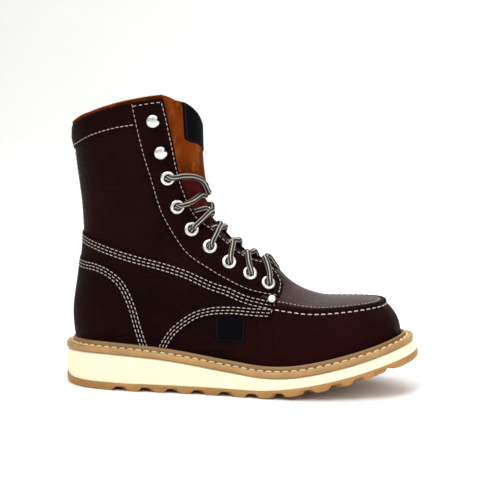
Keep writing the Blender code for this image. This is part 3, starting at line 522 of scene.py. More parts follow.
def section_point(side, s, t):
    """Outside of the leather at section s, t of the way from its top to its foot.

    A section is a superellipse from the front line out to its widest place, and below that
    an ellipse that stands on the welt or closes at the back. Over the forepart it is instead
    a low crowned plug, a seam, and a wall that leans out to the welt.
    """
    s, t = np.broadcast_arrays(np.asarray(s, float), np.asarray(t, float))
    row, turn, top_x, top_z, foot_x, foot_z, reach = section_ends(side, s)
    wide = widest_half(side, row, reach)
    widest = column("widest", row)
    crown = 2 / column("crown", row)
    opening = np.clip(throat_gap(row) / np.maximum(wide, 1), 0, .98)
    start = np.arcsin(opening ** (1 / crown))
    upper = t < WIDEST_ROUND
    high = start + (math.pi / 2 - start) * np.clip(t / WIDEST_ROUND, 0, 1)
    low = np.clip((t - WIDEST_ROUND) / (1 - WIDEST_ROUND), 0, 1)
    end = np.arccos(np.clip(reach / wide, 0, .999))
    low_down = widest + (1 - widest) * np.sin(low * end) / np.sin(end)
    down = np.where(upper, widest * (1 - np.cos(high) ** crown), low_down)
    out = np.where(upper, wide * np.sin(high) ** crown, wide * np.cos(low * end))
    front = np.clip(-s, 0, 1)
    seam_out = reach - column("plug_in", row) - 2 * front ** 2
    seam_down = (column("plug_drop", row) - 3 * front) / np.maximum(top_z - foot_z, 1)
    p = np.clip((t - SEAM_ROUND) / (1 - SEAM_ROUND), 0, 1)
    u = np.clip(t / SEAM_ROUND, 0, 1)
    wall_out = (1 - p) ** 2 * seam_out + 2 * p * (1 - p) * (reach + WALL_BELLY) + p * p * reach
    wall_down = (1 - p) ** 2 * seam_down + 2 * p * (1 - p) * WALL_BEND + p * p
    plug = t < SEAM_ROUND
    moc_out = np.where(plug, seam_out * u, wall_out)
    moc_down = np.where(plug, seam_down * u ** 2, wall_down)
    fade = 1 - ease((row - MOC_FADE[0]) / (MOC_FADE[1] - MOC_FADE[0]))
    out = out + (moc_out - out) * fade
    down = down + (moc_down - down) * fade
    sweep = np.where(upper, high, math.pi / 2 * (1 + low))
    rise = column("arch", row) * np.clip(np.sin(sweep), 0, 1) ** 1.2
    x = top_x + (foot_x - top_x) * down + np.where(s < 0, np.sin(turn), 0) * out
    y = column("mid", row) + side * np.where(s < 0, np.cos(turn), 1) * out
    z = top_z + (foot_z - top_z) * down + rise
    return np.stack([x, y, z], -1)


def last_normal(side, s, t):
    """Outward direction of the leather: the cross product of its two small steps."""
    s, t0 = np.broadcast_arrays(np.asarray(s, float), np.asarray(t, float))
    t = np.clip(t0, *ROUND_LIMITS)
    along = last_point(side, s + SIDE_STEP, t) - last_point(side, s - SIDE_STEP, t)
    around = last_point(side, s, t + SIDE_STEP) - last_point(side, s, t - SIDE_STEP)
    normal = np.cross(around, along) * side
    middle = ((t0 <= 0) & (s < THROAT_ROW)) | ((t0 >= 1) & (s >= HEEL_ROW)) | (s <= -1)
    normal[..., 1] = np.where(middle, 0, normal[..., 1])
    return unit(normal)


def crease_depth(points):
    """Height of the listed folds: a bell across each line, eased at its ends, with a lip."""
    total = np.zeros(points.shape[:-1])
    for x0, z0, x1, z1, depth, half in CREASES:
        length = math.hypot(x1 - x0, z1 - z0)
        dx, dz = (x1 - x0) / length, (z1 - z0) / length
        px, pz = points[..., 0] - x0, points[..., 2] - z0
        along = (px * dx + pz * dz) / length
        across = (pz * dx - px * dz + 1.5 * np.sin(3 * along)) / half
        window = ease(along * 2.5) * ease((1 - along) * 2.5)
        total += depth * window * (.6 * np.exp(-(across - 1.7) ** 2) - np.exp(-across ** 2))
    return total


def leather(side, s, t, lift=0.0):
    """Point over the leather: the last, its folds, and a lift along its normal."""
    base = last_point(side, s, t)
    height = crease_depth(base) + lift
    return base + last_normal(side, s, t) * height[..., None]


def edge_round(side, edge, rows, upright=False):
    """How far round each section a side-view edge crosses it.

    Down every section the leather is compared with the edge, by height or, for an upright
    edge, by x, and the change of sign is found by linear interpolation.
    """
    rows = np.asarray(rows, float)
    rounds = np.linspace(.02, 1, 400)
    points = last_point(side, rows[:, None], rounds[None, :])
    x, z = points[..., 0], points[..., 2]
    if upright:
        gap = x - through(sorted((b, a) for a, b in edge), z)
    else:
        gap = z - through(sorted(edge), x)
    change = (gap[:, :-1] > 0) & (gap[:, 1:] <= 0)
    k = np.where(change.any(1), change.argmax(1), len(rounds) - 2)
    i = np.arange(len(rows))
    first, second = gap[i, k], gap[i, k + 1]
    share = np.where(change.any(1), first / np.where(first == second, 1, first - second), 1)
    return rounds[k] + (rounds[k + 1] - rounds[k]) * share


def edge_beside(edge, distance):
    """A side-view edge moved by a distance to the left of its run."""
    knots = np.array(edge, float)
    x = np.linspace(knots[0, 0], knots[-1, 0], 160)
    line = np.column_stack([x, through(edge, x)])
    along = unit(np.gradient(line, axis=0))
    return list(map(tuple, line + distance * np.column_stack([-along[:, 1], along[:, 0]])))


def placed(side, x, z):
    """Sections and rounds of side-view places: the nearest of a coarse grid, then Newton steps."""
    s0, t0 = np.meshgrid(np.linspace(2.2, 6, 50), np.linspace(.2, .99, 60), indexing="ij")
    grid = last_point(side, s0, t0).reshape(-1, 3)
    nearest = ((grid[:, 0] - x.reshape(-1, 1)) ** 2 + (grid[:, 2] - z.reshape(-1, 1)) ** 2).argmin(1)
    s, t = s0.ravel()[nearest].reshape(x.shape), t0.ravel()[nearest].reshape(x.shape)
    for _ in range(8):
        place = last_point(side, s, t)
        by_s = (last_point(side, s + .01, t) - place) / .01
        by_t = (place - last_point(side, s, t - .002)) / .002
        dx, dz = x - place[..., 0], z - place[..., 2]
        whole = by_s[..., 0] * by_t[..., 2] - by_t[..., 0] * by_s[..., 2]
        s = s + np.clip((dx * by_t[..., 2] - dz * by_t[..., 0]) / whole, -.2, .2)
        t = np.clip(t + np.clip((dz * by_s[..., 0] - dx * by_s[..., 2]) / whole, -.04, .04), .1, 1)
    return s, t


def cuff_row(side, rounds):
    """Section at which the collar band's lower edge crosses each line round the shaft."""
    rows = np.linspace(11, 14, 500)
    points = last_point(side, rows[:, None], np.asarray(rounds)[None, :])
    gap = points[..., 2] - through(CUFF_EDGE, points[..., 0])
    k = (gap > 0).argmax(0)
    return rows[k]


def foot_span(side, edge):
    """First and last section at which a side-view edge stands over the foot and back line."""
    rows = np.linspace(2, 13, 2000)
    points = last_point(side, rows, 1.0)
    x, z = points[:, 0], points[:, 2]
    inside = rows[(z < through(sorted(edge), x)) & (x > edge[0][0]) & (x < edge[-1][0])]
    return inside[0], inside[-1]


def collar_row(side, rounds, below):
    """Section a distance below the collar's top edge, from the length of the last half section.

    The inner side is cut a little lower and its front corner is rounded off; both meet at the back.
    """
    rounds = np.asarray(rounds)
    half_section = last_point(side, COLLAR_ROW, rounds) - last_point(side, COLLAR_ROW - .5, rounds)
    length = np.linalg.norm(half_section, axis=-1)
    corner = np.clip(1 - rounds / INNER_ROUND, 0, 1) ** 1.2
    drop = 0.0 if side == LATERAL else INNER_DROP * ease(2.5 - 2.5 * rounds) + INNER_CORNER * corner
    return COLLAR_ROW - .5 * (below + drop) / length


def shifted(side, s, t, distance):
    """A line moved sideways over the leather, by small steps square to the line.

    The line is first spaced evenly over the leather and its values are averaged with their
    neighbours, so that it stays smooth where sections crowd together.
    """
    place = last_point(side, s, t)
    reach = lengths(place)
    at = np.linspace(0, reach[-1], max(8, int(reach[-1] / 2.0)))
    s, t = settled(np.interp(at, reach, s)), settled(np.interp(at, reach, t))
    steps = 6
    for _ in range(steps):
        place = last_point(side, s, t)
        along = unit(np.gradient(place, axis=0))
        by_s = (last_point(side, s + .01, t) - last_point(side, s - .01, t)) / .02
        low = np.clip(t - .003, 0, .994)
        by_t = (last_point(side, s, low + .006) - last_point(side, s, low)) / .006
        aim = unit(np.cross(last_normal(side, s, t), along)) * distance / steps
        ss, st, tt = (by_s ** 2).sum(1), (by_s * by_t).sum(1), (by_t ** 2).sum(1)
        a, b = (aim * by_s).sum(1), (aim * by_t).sum(1)
        whole = np.maximum(ss * tt - st * st, 1e-9)
        s = settled(s + (a * tt - b * st) / whole)
        t = settled(np.clip(t + (b * ss - a * st) / whole, 0, 1))
    return s, t


def settled(values):
    """Values averaged with their neighbours, with the ends kept."""
    inner = .25 * values[:-2] + .5 * values[1:-1] + .25 * values[2:]
    return np.concatenate([values[:1], inner, values[-1:]])


def throat_angle(side, s, extra=0.0):
    """Angle round the front of a section at which the throat ends, or a little past it."""
    row, *_, reach = section_ends(side, s)
    half = (throat_gap(row) + extra) / widest_half(side, row, reach)
    return np.arcsin(np.clip(half, 0, .97) ** (column("crown", row) / 2))


def front_point(side, s, angle, inset):
    """Place on the round front of a section before the throat is cut, at a depth below it."""
    row, _, top_x, top_z, foot_x, foot_z, reach = section_ends(side, s)
    widest = column("widest", row)
    crown = 2 / column("crown", row)
    length = np.hypot(foot_x - top_x, foot_z - top_z)
    out = (widest_half(side, row, reach) - inset) * np.sin(angle) ** crown
    down = widest - (widest - inset / length) * np.cos(angle) ** crown
    y = column("mid", row) + side * out
    rise = column("arch", row) * np.sin(angle) ** 1.2
    return np.stack([top_x + (foot_x - top_x) * down, y, top_z + (foot_z - top_z) * down + rise], -1)


def tongue_inset(s, angle, edge):
    """Depth of the tongue's face: its middle bows out near the top and sinks under the laces."""
    rise = ease((s - TONGUE_RISE_ROWS[0]) / (TONGUE_RISE_ROWS[1] - TONGUE_RISE_ROWS[0]))
    bow = TONGUE_BOW[0] + (TONGUE_BOW[1] - TONGUE_BOW[0]) * rise
    clear = np.clip(1 - (angle / np.maximum(TONGUE_CLEAR * edge, .01)) ** 2, 0, 1)
    pressed = np.exp(-((np.asarray(s)[..., None] - CROSSING_ROWS) / LACE_DENT_ROWS) ** 2).max(-1)
    return (LEATHER + TONGUE_PLAY) * (1 - bow * clear ** .7) + LACE_DENT * pressed * clear


def tongue_point(s, across, depth):
    """Tongue across the throat: across runs from -1 at its outer edge to 1 at its inner edge."""
    s, across = np.broadcast_arrays(np.asarray(s, float), np.asarray(across, float))
    halves = []
    for side in (LATERAL, MEDIAL):
        angle = throat_angle(side, s, TONGUE_TUCK) * np.abs(across)
        inset = tongue_inset(s, angle, throat_angle(side, s)) + depth
        halves.append(front_point(side, s, angle, inset))
    return np.where((across < 0)[..., None], *halves)


def grid_faces(rows, columns, first=0, loop=False, flip=False):
    """Quads of a grid of points, closed along its columns when it is a loop."""
    i, j = np.meshgrid(np.arange(rows - 1), np.arange(columns if loop else columns - 1), indexing="ij")
    k = (j + 1) % columns
    quads = np.stack([i * columns + j, i * columns + k, (i + 1) * columns + k, (i + 1) * columns + j], -1)
    quads = quads.reshape(-1, 4) + first
    return quads[:, ::-1] if flip else quads


class Workpiece:
    """Grids gathered into one mesh: points, faces and a UV for every point."""

    def __init__(self):
        self.points, self.faces, self.uvs, self.count = [], [], [], 0

    def add(self, grid, loop=False, flip=False, uv=None):
        """One grid of points, with its own UV or an even one from 0 to 1."""
        rows, columns = grid.shape[:2]
        self.faces.append(grid_faces(rows, columns, self.count, loop, flip))
        self.points.append(grid.reshape(-1, 3))
        if uv is None:
            even = np.meshgrid(np.linspace(0, 1, rows), np.linspace(0, 1, columns), indexing="ij")
            uv = np.stack(even, -1)
        self.uvs.append(np.asarray(uv, float).reshape(-1, 2))
        self.count += rows * columns

    def many(self, faces, uv, copies):
        """Copies of one small shape, given as an array of copies by points by 3."""
        number, size = copies.shape[:2]
        steps = (np.arange(number) * size)[:, None, None]
        self.faces.append((faces[None] + steps).reshape(-1, 4) + self.count)
        self.points.append(copies.reshape(-1, 3))
        self.uvs.append(np.tile(uv, (number, 1)))
        self.count += number * size

    def piece(self, name, finish, slot, merge=.01, wall=0.0, replaced=()):
        """The finished object: merged, smooth, at the origin, riding on the boot."""
        points = (np.concatenate(self.points) - (SOLE_LENGTH / 2, 0, 0)) * MM
        faces = np.concatenate(self.faces)
        uvs = np.concatenate(self.uvs)
        mesh = bpy.data.meshes.new(name)
        mesh.vertices.add(len(points))
        mesh.vertices.foreach_set("co", points.ravel())
        mesh.loops.add(faces.size)
        mesh.loops.foreach_set("vertex_index", faces.ravel())
        mesh.polygons.add(len(faces))
        mesh.polygons.foreach_set("loop_start", np.arange(0, faces.size, 4))
        mesh.update(calc_edges=True)
        mesh.uv_layers.new(name="surface").data.foreach_set("uv", uvs[faces.ravel()].ravel())
        work = bmesh.new()
        work.from_mesh(mesh)
        bmesh.ops.remove_doubles(work, verts=work.verts, dist=merge * MM)
        bmesh.ops.dissolve_degenerate(work, edges=work.edges, dist=merge * MM * .1)
        work.to_mesh(mesh)
        work.free()
        mesh.shade_smooth()
        mesh.materials.append(finish)
        made = bpy.data.objects.new(name, mesh)
        bpy.context.scene.collection.objects.link(made)
        if wall:
            thick = made.modifiers.new("wall", "SOLIDIFY")
            thick.thickness = wall * MM
            thick.offset = -1.0
            thick.use_rim = True
        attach(made, "root")
        if replaced:
            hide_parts(*replaced)
        return made


def rim_distance(grid, edges):
    """Least distance of each grid point to the free edges, measured along the grid's lines."""
    far = np.full(grid.shape[:2], 1e3)
    for axis, ends in ((0, edges[:2]), (1, edges[2:])):
        step = np.linalg.norm(np.diff(grid, axis=axis), axis=-1)
        pad = [(0, 0), (0, 0)]
        pad[axis] = (1, 0)
        reach = np.cumsum(np.pad(step, pad), axis=axis)
        if ends[0]:
            far = np.minimum(far, reach)
        if ends[1]:
            far = np.minimum(far, np.take(reach, [-1], axis=axis) - reach)
    return far


def sewn_panel(side, s, t, height, edges, round_=.9, crown=0.0):
    """Sheet sewn on the leather: its height falls off in a quarter round at its free edges."""
    far = rim_distance(last_point(side, s, t), edges)
    edge = np.clip(far / round_, 0, 1)
    lift = height * (.3 + .7 * np.sqrt(1 - (1 - edge) ** 2))
    lift = lift + crown * ease(far / 9)
    return leather(side, s, t, lift)


def strip(rows, first, last, count):
    """Sections and rounds of a strip between two lines, crowded at both of its edges."""
    first = first[:, None]
    return np.broadcast_arrays(rows[:, None], first + (np.reshape(last, (-1, 1)) - first) * crowded(count))


class Tone:
    """A shader socket that takes part in Python expressions on single values."""

    def __init__(self, finish, socket):
        self.finish = finish
        self.socket = socket

    def maths(self, operation, first, second):
        """One Math node on two values or sockets."""
        return self.finish.node("ShaderNodeMath", {"operation": operation}, {0: first, 1: second})

    def __add__(self, other):
        return self.maths("ADD", self, other)

    def __radd__(self, other):
        return self.maths("ADD", other, self)

    def __sub__(self, other):
        return self.maths("SUBTRACT", self, other)

    def __rsub__(self, other):
        return self.maths("SUBTRACT", other, self)

    def __mul__(self, other):
        return self.maths("MULTIPLY", self, other)

    def __rmul__(self, other):
        return self.maths("MULTIPLY", other, self)


class Finish:
    """One procedural material under construction."""

    def __init__(self, name):
        self.material = bpy.data.materials.new(name)
        self.material.use_nodes = True
        self.tree = self.material.node_tree
        self.shader = self.tree.nodes["Principled BSDF"]

    def feed(self, socket, value):
        """Links a socket to a tone or sets it to a plain value."""
        if isinstance(value, Tone):
            self.tree.links.new(value.socket, socket)
        elif value is not None:
            socket.default_value = value

    def node(self, kind, settings=None, sockets=None, output=0):
        """A node of any kind: its settings first, then its socket values and links."""
        made = self.tree.nodes.new(kind)
        for name, value in (settings or {}).items():
            setattr(made, name, value)
        for name, value in (sockets or {}).items():
            self.feed(made.inputs[name], value)
        return Tone(self, made.outputs[output])

    def place(self):
        """Place on the boot in metres."""
        return self.node("ShaderNodeTexCoord", output="Object")

    def surface(self):
        """Place on the piece's own UV map."""
        return self.node("ShaderNodeUVMap", {"uv_map": "surface"})

    def axes(self, vector):
        """The three parts of a vector."""
        return [self.node("ShaderNodeSeparateXYZ", None, {0: vector}, axis) for axis in range(3)]

    def stretched(self, vector, scale, turn=(0, 0, 0)):
        """A place scaled along its axes and turned about them."""
        return self.node("ShaderNodeMapping", None, {"Vector": vector, "Scale": scale, "Rotation": turn})

    def noise(self, vector, scale, detail, rough=.55):
        """Cloudy noise from 0 to 1, with a scale in clouds a metre."""
        return self.node("ShaderNodeTexNoise", None, {
            "Vector": vector, "Scale": scale, "Detail": detail, "Roughness": rough})

    def cells(self, vector, scale):
        """Distance to the middle of the nearest small cell."""
        return self.node("ShaderNodeTexVoronoi", None, {"Vector": vector, "Scale": scale}, "Distance")

    def wave(self, value):
        """Sine of a value."""
        return self.node("ShaderNodeMath", {"operation": "SINE"}, {0: value})

    def off_middle(self, value):
        """Distance of a value from one half."""
        return self.node("ShaderNodeMath", {"operation": "ABSOLUTE"}, {0: value - .5})

    def between(self, value, low, high):
        """0 below low, 1 above high, eased between."""
        return self.node("ShaderNodeMapRange", {"interpolation_type": "SMOOTHSTEP"}, {
            "Value": value, "From Min": low, "From Max": high})

    def mix(self, share, first, second):
        """A colour between two, by a share."""
        return self.node("ShaderNodeMix", {"data_type": "RGBA"}, {0: share, 6: first, 7: second}, 2)

    def bump(self, height, depth):
        """Surface tilted by a height of 0 to 1 over a depth in metres."""
        return self.node("ShaderNodeBump", None, {"Strength": 1.0, "Distance": depth, "Height": height})

    def done(self, colour, roughness, normal=None, **plain):
        """The material, with what varies linked to the shader and plain values set on its sockets."""
        self.feed(self.shader.inputs["Base Color"], colour)
        self.feed(self.shader.inputs["Roughness"], roughness)
        self.feed(self.shader.inputs["Normal"], normal)
        for name, value in plain.items():
            self.shader.inputs[name.replace("_", " ")].default_value = value
        return self.material


def rgba(colour, shade=1.0, tint=(1, 1, 1)):
    """A colour made lighter or darker by a shade and changed by a tint, with full cover."""
    return (*(part * by * shade for part, by in zip(colour, tint)), 1.0)


def leather_finish(name, colour, red, gloss, grain, shine, toe=None, toe_red=None):
    """Oiled leather: pebbled grain in small cells, fine wrinkles, patchy colour and a waxy sheen.

    Gloss is its least roughness, grain the depth of its relief and shine its mirror level. With toe
    colours, the leather turns from the shaft's tone to the vamp's along the boot.
    """
    f = Finish(name)
    at = f.place()
    patches = f.noise(at, 18, 5)
    pebbles = f.cells(at, 900)
    pores = f.noise(at, 2600, 2)
    wrinkles = f.noise(f.stretched(at, (1, 1, 3.2), (0, .45, 0)), 130, 6, .65)
    height = pebbles * .55 + pores * .25 + wrinkles * 1.2
    shade = f.between(patches, .35, .7)
    base = f.mix(shade, rgba(colour), rgba(red))
    if toe is not None:
        forward = f.between(f.axes(at)[0], -.02, .04)
        base = f.mix(forward, base, f.mix(shade, rgba(toe), rgba(toe_red)))
    worn = f.mix(f.between(wrinkles, .48, .72) * .55, base, rgba(red, 1.7))
    rough = gloss + (1 - f.between(pebbles, 0, .6)) * .1 + f.between(patches, .3, .75) * .08
    return f.done(worn, rough, f.bump(height, grain), Specular_IOR_Level=shine)


def tongue_finish(name, suede, lining):
    """Tongue and lining: brushed suede with a fine pile above, dark red leather below at the laces, and lower
    still painted near black as the shade deep in the throat.
    """
    f = Finish(name)
    at = f.place()
    height = f.axes(at)[2]
    brushed = f.noise(f.stretched(at, (1, 1, .45), (0, .3, 0)), 95, 6, .7)
    pile = f.noise(at, 1500, 3, .7)
    clouds = f.noise(at, 28, 3)
    dark = f.mix(f.between(clouds, .35, .68), rgba(suede, .42), rgba(suede, .85))
    base = f.mix(f.between(brushed, .46, .66) * .75, dark, rgba(suede, 1.4, (1, 1.5, 2.4)))
    hide = f.mix(f.between(clouds, .3, .7), rgba(lining, .6), rgba(lining, 1.2))
    # Painted shade: from 0.16 down to 0.135 m above the floor the colour falls to 0.15 of the lining's,
    # standing in for the throat's shadow under the flaps
    low = f.mix(f.between(height, .135, .16), rgba(lining, .15), hide)
    upper = f.between(height + clouds * .004, .178, .181)
    nap = f.bump(pile * .6 + brushed * .8, .0007)
    return f.done(f.mix(upper, low, base), .6 + upper * .35, nap, Specular_IOR_Level=.05)


def foam_finish(name, colour):
    """Wedge foam: smooth cream skin with faint cells and long scuffs."""
    f = Finish(name)
    at = f.place()
    cells = f.noise(at, 700, 3)
    scuffs = f.noise(f.stretched(at, (.5, 1, 3)), 45, 5, .6)
    base = f.mix(f.between(scuffs, .5, .75) * .5, rgba(colour), rgba(colour, tint=(.93, .9, .82)))
    return f.done(base, .55 + scuffs * .15, f.bump(cells + scuffs * .6, .0003))


def rubber_finish(name, colour):
    """Gum rubber: tan with darker clouds and specks, and studs and heel ribs moulded underneath."""
    f = Finish(name)
    at = f.place()
    x, y, _ = f.axes(at)
    clouds = f.noise(at, 22, 5)
    specks = f.noise(at, 900, 2)
    facing = f.axes(f.node("ShaderNodeNewGeometry", output="Normal"))[2]
    under = f.between(facing * -1, .5, .8)
    studs = f.between(f.wave(x * 1700) * f.wave(y * 1700), .25, .6)
    ribs = f.between(f.wave(x * 1960), -.2, .5)
    heel = f.between(x * -1, .106, .108)
    tread = (studs * (1 - heel) + ribs * heel) * under
    base = f.mix(f.between(clouds, .35, .7), rgba(colour, .78), rgba(colour, 1.12))
    dusty = f.mix(f.between(specks, .55, .75) * .35, base, rgba(colour, .55))
    return f.done(dusty, .5 + clouds * .2, f.bump(tread + specks * .12, .0007))


def welt_finish(name, colour):
    """Waxed tan welt leather: streaks along its edge, the ridge beside the upper darker as burnish and as
    painted shade on its upright side, and painted shade along the strip's bottom edge.
    """
    f = Finish(name)
    at = f.place()
    across = f.axes(f.surface())[0]
    streaks = f.noise(f.stretched(at, (.35, .35, 4)), 260, 5, .6)
    clouds = f.noise(at, 40, 4)
    # Ridge darker partly as burnished tone and partly as painted shade of its upright side; the strip's lower
    # outer edge darker as painted shade where it meets the wedge
    burnish_and_shade = f.between(across, .44, .52) + (1 - f.between(across, .02, .1)) * .6
    base = f.mix(f.between(clouds, .3, .72), rgba(colour, .85), rgba(colour, 1.15))
    lined = f.mix(f.between(streaks, .45, .75) * .4, base, rgba(colour, .55))
    tinted = f.mix(burnish_and_shade * .8, lined, rgba(colour, tint=(.46, .42, .36)))
    return f.done(tinted, .42 + streaks * .2, f.bump(streaks + clouds * .4, .0004))


def thread_finish(name, colour):
    """Waxed thread: two plies twisted round each stitch with painted shade in the groove between them, soiled
    in places.
    """
    f = Finish(name)
    along, around, _ = f.axes(f.surface())
    twist = f.wave(along * 26 + around * 12.566)
    soil = f.noise(f.place(), 160, 3)
    base = f.mix(f.between(soil, .45, .75) * .5, rgba(colour), rgba(colour, .62))
    # Painted shade: the colour falls to 0.6 of the thread's in the groove of the twist
    twist_shaded = f.mix(f.between(twist, -.9, .1), rgba(colour, .6), base)
    return f.done(twist_shaded, .7, f.bump(twist, .0002))


def nickel_finish(name, colour):
    """Nickel plate: bright, with soft polish clouds and fine scratches."""
    f = Finish(name)
    at = f.place()
    clouds = f.noise(at, 300, 3)
    scratches = f.noise(f.stretched(at, (1, 8, 1), (.4, .2, .9)), 700, 2)
    base = f.mix(f.between(clouds, .4, .7), rgba(colour), rgba(colour, .82))
    rough = .28 + clouds * .14 + f.between(scratches, .6, .75) * .1
    return f.done(base, rough, f.bump(scratches, .00003), Metallic=1.0)


def lace_finish(name, pale, dark):
    """Round woven lace: pale cord with dark stripes lengthwise, in a small herringbone weave whose plies
    carry painted highlight and shade.
    """
    f = Finish(name)
    along, around, _ = f.axes(f.surface())
    stripes = f.between(f.wave(around * 31.416 + .6), .4, .8)
    plies = f.wave(along * 4.2 + f.wave(around * 75.4) * 1.4)
    fibres = f.noise(f.place(), 2200, 2)
    # Painted highlight and shade: each strand is lighter on the plies' crowns and darker in the hollows
    # between them
    light = f.mix(f.between(plies, -.8, .6), rgba(pale, .62), rgba(pale, 1.1))
    black = f.mix(f.between(plies, -.8, .6), rgba(dark, .6), rgba(dark, 1.6))
    worn = f.mix(f.between(fibres, .4, .75) * .08, f.mix(stripes, black, light), rgba(pale, .4))
    return f.done(worn, .85, f.bump(plies + fibres * .3, .0003))


def label_finish(name, colour, edge):
    """Bare woven label: fine over-and-under weave in painted highlight and shade, with a thin pale line
    inside its border.
    """
    f = Finish(name)
    u, v, _ = f.axes(f.surface())
    weave = f.wave(u * 400) * f.wave(v * 400)
    off_u, off_v = f.off_middle(u), f.off_middle(v)
    rim_u, rim_v = (f.between(off, .44, .452) * (1 - f.between(off, .462, .474)) for off in (off_u, off_v))
    inside = (1 - f.between(off_u, .466, .474)) * (1 - f.between(off_v, .466, .474))
    line = f.between(rim_u + rim_v, 0, 1) * inside
    # Painted highlight and shade of the weave: lighter on the threads' crowns, darker in the hollows between
    # them
    cloth = f.mix(f.between(weave, -.5, .5), rgba(colour, .6), rgba(colour, 1.5))
    return f.done(f.mix(line * .7, cloth, rgba(edge)), .8, f.bump(weave, .0002), Specular_IOR_Level=.05)


def board_finish(name, colour):
    """Insole leather: smooth tan with long fibres and darker pressed patches."""
    f = Finish(name)
    at = f.place()
    fibres = f.noise(f.stretched(at, (.3, 1, 1)), 320, 5, .6)
    pressed = f.noise(at, 25, 3)
    base = f.mix(f.between(pressed, .35, .7), rgba(colour, .7), rgba(colour, 1.1))
    return f.done(f.mix(f.between(fibres, .5, .75) * .4, base, rgba(colour, .5)), .6, f.bump(fibres, .0003))


def colour_prop(name, description, default):
    """A colour that a user may change."""
    return bpy.props.FloatVectorProperty(
        name=name, description=description, default=default, size=3, min=0, max=1, subtype="COLOR")


def length_prop(name, description, millimetres):
    """A length that a user may change, kept in metres."""
    return bpy.props.FloatProperty(
        name=name, description=description, default=millimetres * MM, min=0, unit="LENGTH", precision=5)


class BootColours(bpy.types.PropertyGroup):
    """Colours of the boot's finishes."""
    leather: colour_prop("Leather", "Shaft and quarters", (.0058, .0013, .0012))
    leather_red: colour_prop("Leather, worn", "Redder tone in the shaft leather", (.0108, .0021, .0019))
    vamp: colour_prop("Vamp", "Vamp and toe wall", (.0088, .0014, .0012))
    vamp_red: colour_prop("Vamp, worn", "Redder tone in the vamp leather", (.016, .0025, .0021))
    plug: colour_prop("Plug", "Apron over the toes", (.030, .0098, .0080))
    suede: colour_prop("Suede", "Tongue and lining", (.225, .039, .0035))
    lining: colour_prop("Tongue lining", "Lower tongue between the laces", (.085, .006, .006))
    foam: colour_prop("Foam", "Wedge midsole", (.93, .86, .60))
    rubber: colour_prop("Rubber", "Outsole", (.38, .185, .047))
    welt: colour_prop("Welt", "Welt strip", (.40, .222, .074))
    thread: colour_prop("Thread", "Panel stitching", (.90, .80, .71))
    welt_thread: colour_prop("Welt thread", "Stitching of the welt", (.90, .72, .38))
    metal: colour_prop("Metal", "Eyelets, hooks and rivets", (.86, .85, .83))
    lace: colour_prop("Lace", "Pale strands of the lace", (.74, .68, .55))
    lace_dark: colour_prop("Lace stripe", "Dark strands of the lace", (.012, .010, .010))
    label: colour_prop("Label", "Side tag and tongue label", (.0020, .0020, .0042))
    label_edge: colour_prop("Label edge", "Line woven round the labels", (.020, .020, .024))
    board: colour_prop("Insole", "Insole leather", (.30, .15, .065))


class BootSizes(bpy.types.PropertyGroup):
    """Sizes of the boot's small work."""
    panel: length_prop("Panel", "Thickness of a sewn-on panel", 1.2)
    counter: length_prop("Counter", "Height of the heel counter over the upper", 1.75)
    wall: length_prop("Wall", "Thickness of the upper's leather", 1.5)
    lining: length_prop("Lining", "Thickness of the suede lining", 1.1)
    stitch: length_prop("Stitch", "Length of a panel stitch", 3.1)
    pitch: length_prop("Pitch", "Distance between panel stitches", 4.15)
    thread: length_prop("Thread", "Width of the panel thread", .74)
    lace: length_prop("Lace", "Radius of the lace", 2.3)
    eyelet: length_prop("Eyelet", "Outer radius of an eyelet", 6.1)
    hook: length_prop("Hook", "Radius of a hook's head", 5.4)
    bare_lining: length_prop("Bare lining", "Distance of the leather's edge below the collar's top", 2.4)


def finish(context, name):
    """The named finish, made once from the scene's colours."""
    if name in bpy.data.materials and bpy.data.materials[name].get("boot_finish"):
        return bpy.data.materials[name]
    c = context.scene.boot_colours
    maker, *values = {
        "oiled_leather": (leather_finish, c.leather, c.leather_red, .4, .0012, .02),
        "vamp_leather": (leather_finish, c.leather, c.leather_red, .36, .0009, .024, c.vamp, c.vamp_red),
        "plug_leather": (leather_finish, c.plug, c.vamp_red, .34, .0005, .09),
        "tongue_suede": (tongue_finish, c.suede, c.lining),
        "wedge_foam": (foam_finish, c.foam),
        "gum_sole": (rubber_finish, c.rubber),
        "waxed_welt": (welt_finish, c.welt),
        "panel_thread": (thread_finish, c.thread),
        "sole_thread": (thread_finish, c.welt_thread),
        "nickel_plate": (nickel_finish, c.metal),
        "striped_lace": (lace_finish, c.lace, c.lace_dark),
        "woven_label": (label_finish, c.label, c.label_edge),
        "insole_board": (board_finish, c.board),
    }[name]
    made = maker(name, *values)
    made["boot_finish"] = True
    return made


def sizes(context):
    """The scene's sizes in millimetres."""
    group = context.scene.boot_sizes
    return namedtuple("Sizes", group.__annotations__.keys())(
        *[getattr(group, name) / MM for name in group.__annotations__])


def sole_line(share, offset, lean, stations):
    """Both halves of an inset outline at given stations from its rear tip to its front tip."""
    halves = split_sides(inset_outline(share, offset, lean))
    low = halves[LATERAL][0, 0]
    high = halves[LATERAL][-1, 0]
    x = low + (high - low) * stations
    return {side: np.column_stack([x, np.interp(x, half[:, 0], half[:, 1])]) for side, half in halves.items()}


